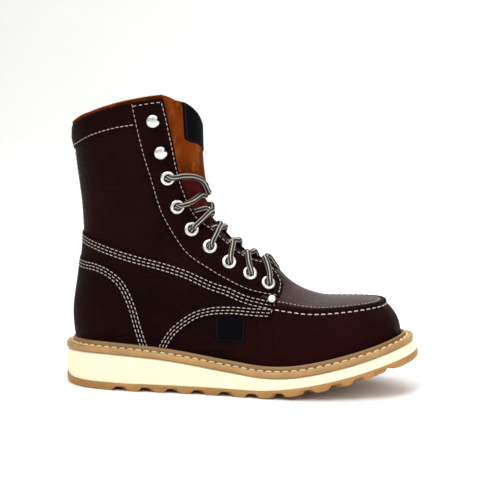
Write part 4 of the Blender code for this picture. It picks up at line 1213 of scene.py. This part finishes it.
def groove_depth(x, y):
    """Depth of the tread at a place: the zigzag distance to the nearest groove, with steep walls that
    open out towards the rim of the sole."""
    zigzag = (np.abs((y / ZIGZAG_PERIOD) % 1 * 2 - 1) - .5) * ZIGZAG_HEIGHT
    rim = {side: np.interp(x, half[:, 0], half[:, 1]) for side, half in split_sides(OUTLINE).items()}
    flare = 1 - np.clip(np.minimum(y - rim[LATERAL], rim[MEDIAL] - y) / GROOVE_FLARE, 0, 1)
    depth = np.zeros_like(x)
    for centre in GROOVES_X:
        half = GROOVE_WIDTH / 2 * (1 + 1.5 * flare) + .5
        near = np.clip((half - np.abs(x - centre - zigzag)) / (1 + 3 * flare), 0, 1)
        if PLAQUE_X[0] < centre < PLAQUE_X[1]:
            near = near * ease((np.abs(y) - PLAQUE_HALF) / 1.5 + .5)
        depth = np.maximum(depth, near * GROOVE_DEPTH)
    away = np.abs(np.stack([x, y], -1) - PLAQUE_CENTRE)
    plaque = np.all(away < PLAQUE_HALVES, -1)
    return np.where(plaque, np.maximum(depth, PLAQUE_DEPTH), depth)


def sole_layer(lines, stations, across, bottom, top, tread=None, lean=0.0):
    """A layer of the sole as loops round it at each station.

    Each loop runs under the layer from its outer to its inner edge, up the given lines of
    inset and height, back over the top, and down the lines on the outer side.
    """
    x01 = crowded(stations)
    halves = [(sole_line(share, offset, lean * rise, x01), rise) for share, offset, rise in lines]
    walls = {}
    for side in (LATERAL, MEDIAL):
        rows = []
        for half, rise in halves:
            flat = half[side]
            z = bottom(flat[:, 0]) + (top(flat[:, 0]) - bottom(flat[:, 0])) * rise
            if tread is not None:
                z = np.maximum(z, bottom(flat[:, 0]) + tread(flat[:, 0], flat[:, 1]))
            rows.append(np.column_stack([flat, z]))
        walls[side] = np.array(rows)
    share = np.linspace(0, 1, across + 2)[1:-1, None, None]
    under = walls[LATERAL][0] * (1 - share) + walls[MEDIAL][0] * share
    if tread is not None:
        under[..., 2] = bottom(under[..., 0]) + tread(under[..., 0], under[..., 1])
    share = np.linspace(0, 1, 10)[1:-1, None, None]
    over = walls[MEDIAL][-1] * (1 - share) + walls[LATERAL][-1] * share
    loops = np.concatenate([under, walls[MEDIAL], over, walls[LATERAL][::-1]])
    return loops.transpose(1, 0, 2)


class BOOT_OT_sole(bpy.types.Operator):
    """Builds the outsole, wedge, welt and insole"""
    bl_idname = "boot.sole"
    bl_label = "Sole"

    def execute(self, context):
        layers = [
            ("gum_outsole", "gum_sole", "gum_rubber", "outsole",
             sole_layer(OUTSOLE_EDGE, 400, 84, ground, outsole_top, groove_depth)),
            ("wedge_midsole", "wedge_foam", "cream_foam", "midsole",
             sole_layer(WEDGE_EDGE, 220, 8, outsole_top, wedge_top, lean=WEDGE_LEAN)),
            ("insole_board", "insole_board", "insole_leather", "insole",
             sole_layer(INSOLE_EDGE, 160, 8, insole_foot, insole_top)),
        ]
        for name, look, slot, node, loops in layers:
            layer = Workpiece()
            layer.add(loops, loop=True)
            layer.piece(name, finish(context, look), slot, replaced=[node])
        welt = Workpiece()
        welt.add(self.welt_rings())
        welt.piece("waxed_welt", finish(context, "waxed_welt"), "welt_leather", replaced=["welt"])
        return {"FINISHED"}

    def welt_rings(self):
        """The welt's closed profile carried round the sole: each of its points follows an inset outline."""
        rings = []
        for share, offset, rise in WELT_PROFILE + WELT_PROFILE[:1]:
            flat = inset_outline(share, offset, WELT_LEAN * (1 - share))
            rings.append(np.column_stack([flat, wedge_top(flat[:, 0]) + rise]))
        rings = np.array(rings)[:, ::2]
        return np.concatenate([rings, rings[:, :1]], 1)


class BOOT_OT_upper(bpy.types.Operator):
    """Builds the leather wall of vamp and shaft, and its suede lining"""
    bl_idname = "boot.upper"
    bl_label = "Upper and lining"

    def execute(self, context):
        z = sizes(context)
        shell, lining = Workpiece(), Workpiece()
        for side in SIDES.values():
            shell.add(self.wall(side, z), flip=side == LATERAL)
            lining.add(self.lining(side, z), flip=side == LATERAL)
        hide, suede = finish(context, "vamp_leather"), finish(context, "tongue_suede")
        shell.piece("upper_leather", hide, "brown_leather", UPPER_MERGE, z.wall, ["upper"])
        lining.piece("suede_lining", suede, "rust_suede", UPPER_MERGE, z.lining)
        return {"FINISHED"}

    def wall(self, side, z):
        """Half of the upper: the leather from toe to collar, its last sections drawn to the collar's edge,
        with a strip at the foot that goes down behind the welt's ridge."""
        rows = runs((-1, 0, 40), (0, 4, 66), (4, COLLAR_ROW, 96))
        s, t = np.meshgrid(rows, runs((0, .3, 22), (.3, .45, 14), (.45, 1, 38)), indexing="ij")
        fixed = COLLAR_ROW - 1
        s = np.where(s > fixed, fixed + (s - fixed) * (collar_row(side, t, z.bare_lining) - fixed), s)
        wall = leather(side, s, t)
        foot = wall[:, -1:] - np.where(rows <= HEEL_ROW, 1, 0)[:, None, None] * np.array([0, 0, FOOT_RISE])
        return np.concatenate([wall, foot], 1)

    def lining(self, side, z):
        """Half of the lining: just inside the wall, and out to the wall's middle at its top edge."""
        share, t = np.meshgrid(1 - (1 - np.linspace(0, 1, 110)) ** 1.3, np.linspace(0, 1, 46), indexing="ij")
        s = LINING_FOOT_ROW + (collar_row(side, t, LINING_RISE) - LINING_FOOT_ROW) * share
        return leather(side, s, t, -z.wall - .1 + .5 * ease(share * 60 - 59))


class BOOT_OT_panels(bpy.types.Operator):
    """Builds the quarters, counter, eyestays, collar band and side tag"""
    bl_idname = "boot.panels"
    bl_label = "Sewn panels"

    def execute(self, context):
        z = sizes(context)
        hide = finish(context, "oiled_leather")
        counter, collar = Workpiece(), Workpiece()
        for label, side in SIDES.items():
            flip = side == LATERAL
            counter.add(self.counter(side, z), flip=flip)
            for name, grid in (("quarter", self.quarter(side, z)), ("eyestay", self.eyestay(side, z))):
                panel = Workpiece()
                panel.add(grid, flip=flip)
                node = f"{name}_{label}"
                panel.piece(f"{node}_leather", hide, "brown_leather", PANEL_MERGE, PANEL_WALL, [node])
            collar.add(self.collar(side, z), flip=flip)
        counter.piece("heel_counter_leather", hide, "brown_leather", PANEL_MERGE, PANEL_WALL, ["counter"])
        band = collar.piece(
            "collar_band_leather", hide, "brown_leather", PANEL_MERGE, PANEL_WALL, ["collar_band"])
        tag = Workpiece()
        tag.add(self.side_tag())
        cloth = finish(context, "woven_label")
        tag.piece("side_tag_cloth", cloth, "navy_cloth", wall=SIDE_TAG_WALL, replaced=["side_tag"])
        return {"FINISHED"}

    def counter(self, side, z):
        """Half of the heel panel: from its side-view edge down to the foot and the back line."""
        front, back = foot_span(side, COUNTER_EDGE)
        rows = front + (back - front) * crowded(90)
        edge = edge_round(side, COUNTER_EDGE, rows)
        edge[[0, -1]] = 1
        return sewn_panel(side, *strip(rows, edge, 1, 46), z.counter, (0, 0, 1, 0))

    def quarter(self, side, z):
        """Side panel: from its top edge down to the arch in front and to the foot behind."""
        back = foot_span(side, QUARTER_TOP)[1]
        rows = PANEL_FRONT_ROW + (back - PANEL_FRONT_ROW) * crowded(150)
        top = edge_round(side, QUARTER_TOP, rows)
        top[-1] = 1
        arch_foot = foot_span(side, QUARTER_ARCH)[1]
        low = np.where(rows < arch_foot, edge_round(side, QUARTER_ARCH, rows), 1)
        return sewn_panel(side, *strip(rows, top, low, 54), z.panel, (1, 0, 1, 1))

    def eyestay(self, side, z):
        """Eyelet strip: from the throat's edge back to its own edge, drawn up to the collar's top."""
        top = collar_row(side, .3, z.bare_lining)
        rows = PANEL_FRONT_ROW + (top - PANEL_FRONT_ROW) * crowded(170)
        rear = edge_round(side, EYESTAY_REAR, rows, upright=True)
        s, t = strip(rows, through(EYESTAY_FRONT, rows), rear, 30)
        s = s + (collar_row(side, t, z.bare_lining) - top) * ease((s - 12) / (top - 12))
        return sewn_panel(side, s, t, EYESTAY_SHARE * z.panel, (1, 1, 1, 1))

    def collar(self, side, z):
        """Half of the padded band: from its lower edge up to the leather's edge, crowned between them."""
        start = edge_round(side, EYESTAY_REAR, [13.5], upright=True)[0] - .01
        rounds = start + (1 - start) * np.linspace(0, 1, 70)
        low = cuff_row(side, rounds)
        high = collar_row(side, rounds, z.bare_lining - .4)
        s, t = np.broadcast_arrays(low + (high - low) * crowded(22)[:, None], rounds)
        return sewn_panel(side, s, t, z.panel * COLLAR_SHARE, (1, 1, 0, 0), COLLAR_EDGE, COLLAR_SWELL)

    def side_tag(self):
        """Bare cloth tag: a rectangle in side view carried onto the leather, tucked under the quarter."""
        back, ahead, bottom, top = SIDE_TAG
        x, height = np.meshgrid(
            np.linspace(back, ahead, 26), np.linspace(top + SIDE_TAG_TUCK, bottom, 24), indexing="ij")
        return sewn_panel(LATERAL, *placed(LATERAL, x, height), SIDE_TAG_HEIGHT, (1, 1, 0, 1), SIDE_TAG_EDGE)


class BOOT_OT_toe(bpy.types.Operator):
    """Builds the plug over the toes and the rolled seam round it"""
    bl_idname = "boot.toe"
    bl_label = "Plug and toe seam"

    def execute(self, context):
        z = sizes(context)
        plug, roll = Workpiece(), Workpiece()
        for side in SIDES.values():
            plug.add(self.plug(side, z), flip=side == LATERAL)
            roll.add(self.roll(side), flip=side == LATERAL)
        smooth, grained = finish(context, "plug_leather"), finish(context, "vamp_leather")
        plug.piece("toe_plug_leather", smooth, "burgundy_leather", TOE_MERGE, PLUG_WALL, ["plug"])
        roll.piece("toe_seam_roll", grained, "brown_leather", TOE_MERGE, ROLL_WALL, ["moc_seam"])
        return {"FINISHED"}

    def plug(self, side, z):
        """Half of the apron: from the middle line out to the seam, with rows that crowd at the seam."""
        out = 1 - (1 - np.linspace(0, 1, 40)) ** 1.6
        s, t = np.meshgrid(runs((-1, 0, 60), (0, 2.9, 80)), PLUG_ROUND * out, indexing="ij")
        return sewn_panel(side, s, t, PLUG_SHARE * z.panel, (0, 0, 0, 1))

    def roll(self, side):
        """Half of the rolled seam: a half round across, puckered by a sine along its length."""
        rows = runs((-1, 0, 150), (0, 2.45, 190))
        s, across = np.meshgrid(rows, np.linspace(0, 1, 17), indexing="ij")
        reach = lengths(last_point(side, rows, ROLL_MIDDLE))
        pucker = PUCKER_HEIGHT * np.sin((reach - reach[1]) * 2 * math.pi / PUCKER_LENGTH)[:, None]
        height = (ROLL_HEIGHT + pucker) * np.sin(math.pi * across) ** .7 - ROLL_SINK
        return leather(side, s, ROLL_ROUND + ROLL_WIDTH * across, height)


class BOOT_OT_tongue(bpy.types.Operator):
    """Builds the tongue and its bare label"""
    bl_idname = "boot.tongue"
    bl_label = "Tongue"

    def execute(self, context):
        tongue = Workpiece()
        height, across = np.meshgrid(np.linspace(0, 1, 110), np.linspace(-1, 1, 61), indexing="ij")
        rows = TONGUE_ROWS[0] + (TONGUE_ROWS[1] - TONGUE_ROWS[0]) * height
        rows = rows + (through(TONGUE_TOP, across) - TONGUE_ROWS[1]) * height ** 4
        tongue.add(self.face(rows, across, 0.0))
        suede = finish(context, "tongue_suede")
        tongue.piece("suede_tongue", suede, "rust_suede", wall=TONGUE_THICK, replaced=["tongue"])
        label = Workpiece()
        height, across = np.meshgrid(
            np.linspace(0, 1, 40), np.linspace(-LABEL_HALF, LABEL_HALF, 34), indexing="ij")
        foot = through(LABEL_FOOT, across)
        label.add(self.face(foot + (through(TONGUE_TOP, across) - foot) * height, across, -LABEL_LIFT))
        cloth = finish(context, "woven_label")
        label.piece("tongue_label_cloth", cloth, "navy_cloth", wall=LABEL_WALL, replaced=["tongue_label"])
        return {"FINISHED"}

    def face(self, rows, across, depth):
        """Face of the tongue at a depth, with a slow wave over its height and width."""
        sway = TONGUE_SWAY * np.sin((rows - TONGUE_ROWS[0]) * .85) * np.cos(across * 4)
        return tongue_point(rows, across, depth + sway)


class BOOT_OT_stitching(bpy.types.Operator):
    """Sews the panels, the toe seam and the welt"""
    bl_idname = "boot.stitching"
    bl_label = "Stitching"

    def execute(self, context):
        z = sizes(context)
        seams, toe, welt = Workpiece(), Workpiece(), Workpiece()
        for side in SIDES.values():
            for s, t, lift, size in self.panel_rows(side, z):
                path, above = leather(side, s, t, lift), last_normal(side, s, t)
                self.sew(seams, path, above, z.stitch, z.pitch, z.thread * size)
            s = np.linspace(-1, 2.3, 500)
            for t, lift, *stitch in TOE_STITCHES:
                self.sew(toe, leather(side, s, t, lift), last_normal(side, s, t), *stitch)
        flat = inset_outline(WELT_STITCH_SHARE, 0, (1 - WELT_STITCH_SHARE) * WELT_LEAN)
        path = np.column_stack([flat, wedge_top(flat[:, 0]) + WELT_STITCH_RISE])
        path = np.vstack([path, path[:1]])
        self.sew(welt, path, np.tile([0, 0, 1.0], (len(path), 1)), *WELT_STITCH, slant=WELT_STITCH_SLANT)
        seams.piece("panel_stitching", finish(context, "panel_thread"), "lace_cord", THREAD_MERGE)
        toe.piece("toe_seam_stitching", finish(context, "panel_thread"), "lace_cord", THREAD_MERGE)
        welt.piece("welt_stitching", finish(context, "sole_thread"), "lace_cord", THREAD_MERGE)
        return {"FINISHED"}

    def panel_rows(self, side, z):
        """Rows of stitches on one side: sections, rounds, height over the leather and share of the width."""
        rows = []
        on_panel, on_counter = z.panel + THREAD_LIFT, z.counter + THREAD_LIFT
        on_stay = EYESTAY_SHARE * z.panel + THREAD_LIFT
        # Three rows along the quarter's top edge, its arch and the counter's edge
        for distance in QUARTER_STITCHES:
            edge = edge_beside(QUARTER_TOP, -distance)
            s = np.linspace(foot_span(side, edge)[1], STITCH_FRONT_ROW, 260)
            rows.append((s, edge_round(side, edge, s), on_panel, 1))
        for distance in ARCH_STITCHES:
            s, t = placed(side, *np.array(edge_beside(QUARTER_ARCH, distance)).T)
            held = (t < .99) & (s > STITCH_FRONT_ROW)
            rows.append((s[held], t[held], on_panel, 1))
        for distance in COUNTER_STITCHES:
            edge = edge_beside(COUNTER_EDGE, -distance)
            first, last = foot_span(side, edge)
            s = first + (last - first) * crowded(400)
            rows.append((s, edge_round(side, edge, s), on_counter, 1))
        # Down the quarter's front end
        s = np.full(40, PANEL_FRONT_ROW + .06)
        top, low = (edge_round(side, edge, s[:1])[0] for edge in (QUARTER_TOP, QUARTER_ARCH))
        rows.append((s, np.linspace(top + .03, low - .07, 40), on_panel, .9))
        # Round the eyestay: its rear edge, its front edge and along the collar
        rear, front = EYESTAY_STITCHES
        top = collar_row(side, .2, z.bare_lining)
        s = np.linspace(2.4, top, 600)
        rows.append((s, edge_round(side, edge_beside(EYESTAY_REAR, rear), s, upright=True), on_stay, .72))
        s = runs((PANEL_FRONT_ROW, 3.2, 120), (3.2, top - .1, 400))
        rows.append((*shifted(side, s, through(EYESTAY_FRONT, s), side * -front), on_stay, .85))
        t = np.linspace(.05, edge_round(side, EYESTAY_REAR, [13.7], upright=True)[0] - .02, 60)
        rows.append((collar_row(side, t, z.bare_lining + front), t, on_stay, .85))
        # Along the collar band's lower edge and up the back seam
        t = np.linspace(edge_round(side, EYESTAY_REAR, [13.3], upright=True)[0], 1, 200)
        rows.append((cuff_row(side, t) + .09, t, z.panel * COLLAR_SHARE + .5, .9))
        t = np.full(200, BACK_SEAM_ROUND)
        s = np.linspace(foot_span(side, QUARTER_TOP)[1] + .12, cuff_row(side, t[:1])[0] - .06, 200)
        rows.append((s, t, .12, .9))
        return rows

    def sew(self, work, path, normals, length, pitch, width, slant=0.0):
        """Stitches along a path: spindles six-sided and six long that dip at their ends."""
        reach = lengths(path)
        number = max(1, int(reach[-1] / pitch))
        at = (np.arange(number) + .5) * reach[-1] / number
        centre = sampled(path, reach, at)
        above = unit(sampled(normals, reach, at))
        along = unit(sampled(path, reach, at + .4) - sampled(path, reach, at - .4))
        along = unit(along + unit(np.cross(above, along)) * slant)
        beside = np.cross(above, along)
        run = np.array(STITCH_RUN)[:, None]
        girth = np.array(STITCH_GIRTH)[:, None]
        angle = np.linspace(0, 2 * math.pi, 6, endpoint=False)[None, :]
        shape = np.stack(np.broadcast_arrays(
            run * length / 2, girth * np.cos(angle) * width / 2,
            girth * np.sin(angle) * width * .42 + width * (.18 - .5 * run ** 4)), -1).reshape(-1, 3)
        uv = np.stack(np.broadcast_arrays(run * .5 + .5, angle / (2 * math.pi)), -1).reshape(-1, 2)
        turn = np.stack([along, beside, above], 1)
        copies = centre[:, None, :] + np.einsum("pk,nkd->npd", shape, turn)
        work.many(grid_faces(6, 6, loop=True), uv, copies)


def seat(side, place, lift):
    """Centre and axes of a fixing: towards the throat, along the boot, and outwards."""
    row, round_ = place
    outward = last_normal(side, row, round_)
    ahead = last_point(side, row, round_ - .02) - last_point(side, row, round_)
    ahead = unit(ahead - outward * np.dot(ahead, outward))
    centre = leather(side, np.array(row), np.array(round_), lift)
    return centre, np.stack([ahead, np.cross(outward, ahead), outward])


def turned(profile, steps):
    """A profile of radius and height carried round its axis, as rings by points."""
    angle = np.linspace(0, 2 * math.pi, steps, endpoint=False)
    radius, rise = np.array(profile, float).T
    return np.stack(np.broadcast_arrays(
        radius[:, None] * np.cos(angle), radius[:, None] * np.sin(angle), rise[:, None]), -1)


class BOOT_OT_metalwork(bpy.types.Operator):
    """Builds the eyelets, speed hooks and rivets"""
    bl_idname = "boot.metalwork"
    bl_label = "Eyelets, hooks and rivets"

    def execute(self, context):
        z = sizes(context)
        plate = finish(context, "nickel_plate")
        ring = [(z.eyelet - inset, rise) for inset, rise in EYELET_RIM]
        for label, side in SIDES.items():
            for i, place in enumerate(EYELETS, 1):
                self.fix(f"eyelet_{label}_{i}", side, place, FIXING_LIFT, turned(ring, 48), plate)
            for i, place in enumerate(HOOKS, 1):
                self.fix(f"hook_{label}_{i}", side, place, FIXING_LIFT, self.hook(z.hook), plate)
            self.fix(f"rivet_{label}", side, RIVET, RIVET_LIFT, turned(RIVET_DOME, 40), plate)
        return {"FINISHED"}

    def fix(self, node, side, place, lift, rings, plate):
        """One fixing: its rings turned to its seat on the leather, in the place of its solid."""
        centre, axes = seat(side, place, lift)
        made = Workpiece()
        made.add(centre + rings @ axes, loop=True, flip=True)
        made.piece(node + "_nickel", plate, "nickel", METAL_MERGE, replaced=[node])

    def hook(self, radius):
        """Speed hook: a foot, a waist and a domed head with a notch cut towards the throat."""
        head = [(radius - inset, rise) for inset, rise in HOOK_HEAD]
        profile = np.array(HOOK_WAIST + head + HOOK_CROWN)
        rings = turned(profile, 64)
        angle = np.linspace(0, 2 * math.pi, 64, endpoint=False)
        away = np.abs((angle - HOOK_NOTCH + math.pi) % (2 * math.pi) - math.pi)
        notch = HOOK_NOTCH_DEPTH * np.clip(1 - away / HOOK_NOTCH_HALF, 0, 1)
        cut = ease((profile[:, 0] - 2.7) / 1.5) * (profile[:, 1] > 2.4)
        rings[..., :2] *= (1 - notch[None, :] * cut[:, None])[..., None]
        return rings


class BOOT_OT_laces(bpy.types.Operator):
    """Runs the two ends of the lace up through the eyelets"""
    bl_idname = "boot.laces"
    bl_label = "Laces"

    def execute(self, context):
        z = sizes(context)
        lace = Workpiece()
        for first in SIDES.values():
            marks = []
            for i, row in enumerate(CROSSING_ROWS):
                near = first if i % 2 == 0 else -first
                heights = LACE_ON_TOP if (first == LATERAL) == (i % 4 < 2) else LACE_BELOW
                marks += self.crossing(near, i, row, z.lace * np.array(heights))
            path, along = even_steps(smooth_path(marks, 4000), 1.0)
            rings, uv = self.tube(path, along, z.lace)
            lace.add(rings, flip=True, uv=uv)
        nodes = [f"lace_cross_{i}" for i in range(1, len(EYELETS) + 1)]
        cord = finish(context, "striped_lace")
        lace.piece("striped_laces", cord, "lace_cord", LACE_MERGE, replaced=nodes)
        return {"FINISHED"}

    def crossing(self, near, i, row, heights):
        """Marks of one crossing: out of an eyelet, straight over the edge, across the tongue and under
        the far edge. The last crossing goes over the far edge and down into the top eyelet. The three
        heights over the tongue are for the near half, the middle and the far half."""
        start, end = EYELETS[i], EYELETS[i + 1]
        leave = self.edge_row(near, start, row)
        arrive = self.edge_row(-near, end, row)
        last = i + 1 == len(CROSSING_ROWS)
        arrive = arrive + (LACE_TOP_BOW[-near] if last else 0)

        def flap(side, place, edge, share):
            """Over the flap, a share of the way from its edge to an eyelet."""
            s, t = edge + (place[0] - edge) * share, FLAP_EDGE + place[1] * share
            return last_point(side, s, t) + last_normal(side, s, t) * LACE_LIFT

        def tongue(side, s, share, lift):
            """Over the tongue, a share of the way from its middle to the flap's edge."""
            edge = throat_angle(side, s)
            return front_point(side, s, edge * share, tongue_inset(s, edge * share, edge) - lift)

        out = [self.hole(near, start, local) for local in LACE_HOLE]
        marks = out + [flap(near, start, leave, .5), flap(near, start, leave, 0)]
        marks += [tongue(near, .5 * (leave + row), .5, heights[0]), tongue(near, row, 0, heights[1])]
        if last:
            marks += [tongue(-near, .5 * (arrive + row), .5, heights[0])]
            marks += [flap(-near, end, arrive, 0), flap(-near, end, arrive, .5)]
            return marks + [self.hole(-near, end, local) for local in LACE_HOLE[::-1]]
        marks += [tongue(-near, row + LACE_FAR_SHARE * (arrive - row), LACE_FAR_SHARE, heights[2])]
        under = throat_angle(-near, arrive) * LACE_UNDER_EDGE
        return marks + [front_point(-near, arrive, under, LACE_TUCK)]

    def hole(self, side, place, local):
        """Place in an eyelet's hole, along its own axes."""
        centre, axes = seat(side, place, FIXING_LIFT)
        return centre + np.array(local) @ axes

    def edge_row(self, side, place, row):
        """Section at which the flap's edge meets the side view's straight line from eyelet to crossing."""
        rows = np.linspace(2.6, 12, 600)
        edge = last_point(side, rows, FLAP_EDGE)[:, [0, 2]]
        eyelet = last_point(side, *place)[[0, 2]]
        run = front_point(side, np.array(row), np.array(0.0), np.array(2.0))[[0, 2]] - eyelet
        off = run[0] * (edge[:, 1] - eyelet[1]) - run[1] * (edge[:, 0] - eyelet[0])
        return rows[np.argmin(np.abs(off) + 1e3 * (np.abs(rows - row) > 2.6))]

    def tube(self, path, along, radius):
        """Round cord: a circle carried along the path, square to it, and drawn to a point at both ends."""
        beside = unit(np.cross(along, (.8, 0, .6)))
        above = np.cross(beside, along)
        angle = np.linspace(0, 2 * math.pi, LACE_SIDES + 1)[None, :, None]
        grow = ease(np.minimum(np.arange(len(path)), np.arange(len(path))[::-1]) / 1.5)[:, None, None]
        circle = np.cos(angle) * beside[:, None] + np.sin(angle) * above[:, None]
        rings = path[:, None] + radius * grow * circle
        uv = np.stack(np.broadcast_arrays(
            np.arange(len(path), dtype=float)[:, None], angle[..., 0] / (2 * math.pi)), -1)
        return rings, uv


class BOOT_PT_panel(bpy.types.Panel):
    """Lists the pieces of the boot in the sidebar"""
    bl_idname = "BOOT_PT_panel"
    bl_label = "Work boot"
    bl_space_type = "VIEW_3D"
    bl_region_type = "UI"
    bl_category = "Boot"

    def draw(self, context):
        """A button for each operator, then the sizes and colours."""
        for operator in OPERATORS:
            self.layout.operator(operator.bl_idname)
        for group in (context.scene.boot_sizes, context.scene.boot_colours):
            for name in group.__annotations__:
                self.layout.prop(group, name)


class BOOT_OT_stage(bpy.types.Operator):
    """Sets up the floor, the lights and the camera"""
    bl_idname = "boot.stage"
    bl_label = "Stage"

    def execute(self, context):
        self.floor(context)
        for light in LIGHTS:
            self.light(context, *light)
        world = bpy.data.worlds.new("studio_air")
        world.use_nodes = True
        air = world.node_tree.nodes["Background"]
        air.inputs["Color"].default_value = (1, 1, 1, 1)
        air.inputs["Strength"].default_value = AIR_BRIGHTNESS
        context.scene.world = world
        context.scene.view_settings.view_transform = "Standard"
        self.camera(context)
        return {"FINISHED"}

    def floor(self, context):
        """Pale floor that curves up far behind the boot: flat, then a quarter circle, then upright."""
        turn = np.linspace(0, math.pi / 2, 12)
        run = np.concatenate([np.linspace(-3, 2, 8), 2 + np.sin(turn), [3.0]])
        rise = np.concatenate([np.zeros(8), 1 - np.cos(turn), [4.0]])
        grid = np.stack(np.broadcast_arrays(np.linspace(-4, 4, 5)[:, None], run[None, :], rise[None, :]), -1)
        mesh = bpy.data.meshes.new("studio_floor")
        mesh.from_pydata(grid.reshape(-1, 3), [], grid_faces(5, len(run), flip=True).tolist())
        mesh.shade_smooth()
        paint = Finish("pale_floor")
        dust = paint.noise(paint.place(), 6, 3)
        tone = paint.mix(dust, (.88, .88, .87, 1), (.92, .92, .915, 1))
        mesh.materials.append(paint.done(tone, .8))
        made = bpy.data.objects.new("studio_floor", mesh)
        context.scene.collection.objects.link(made)

    def light(self, context, name, place, size, power, aim):
        """Soft square light at a place that faces another."""
        lamp = bpy.data.lights.new(name, "AREA")
        lamp.size = size
        lamp.energy = power
        made = bpy.data.objects.new(name, lamp)
        made.location = place
        made.rotation_euler = (Vector(aim) - Vector(place)).to_track_quat("-Z", "Y").to_euler()
        context.scene.collection.objects.link(made)

    def camera(self, context):
        """Camera at the viewing angle, aimed at the boot's middle from a distance."""
        azimuth, elevation = math.radians(VIEW_AZIMUTH), math.radians(VIEW_ELEVATION)
        back = Vector((math.sin(azimuth) * math.cos(elevation), -math.cos(azimuth) * math.cos(elevation),
                       math.sin(elevation)))
        lens = bpy.data.cameras.new("viewer")
        lens.lens = VIEW_LENS
        made = bpy.data.objects.new("viewer", lens)
        made.location = Vector(VIEW_TARGET) + back * VIEW_DISTANCE
        made.rotation_euler = (-back).to_track_quat("-Z", "Y").to_euler()
        context.scene.collection.objects.link(made)
        context.scene.camera = made


OPERATORS = [
    BOOT_OT_sole, BOOT_OT_upper, BOOT_OT_panels, BOOT_OT_toe, BOOT_OT_tongue, BOOT_OT_stitching,
    BOOT_OT_metalwork, BOOT_OT_laces, BOOT_OT_stage]
CLASSES = [BootColours, BootSizes, *OPERATORS, BOOT_PT_panel]


def register():
    """Makes the classes and the scene's sizes and colours known."""
    for kind in CLASSES:
        bpy.utils.register_class(kind)
    bpy.types.Scene.boot_colours = bpy.props.PointerProperty(type=BootColours)
    bpy.types.Scene.boot_sizes = bpy.props.PointerProperty(type=BootSizes)


def unregister():
    """Undoes register, in the opposite order."""
    del bpy.types.Scene.boot_sizes
    del bpy.types.Scene.boot_colours
    for kind in reversed(CLASSES):
        bpy.utils.unregister_class(kind)


def main():
    """Builds every piece in order."""
    register()
    for operator in OPERATORS:
        group, name = operator.bl_idname.split(".")
        getattr(getattr(bpy.ops, group), name)()


if __name__ == "__main__":
    main()
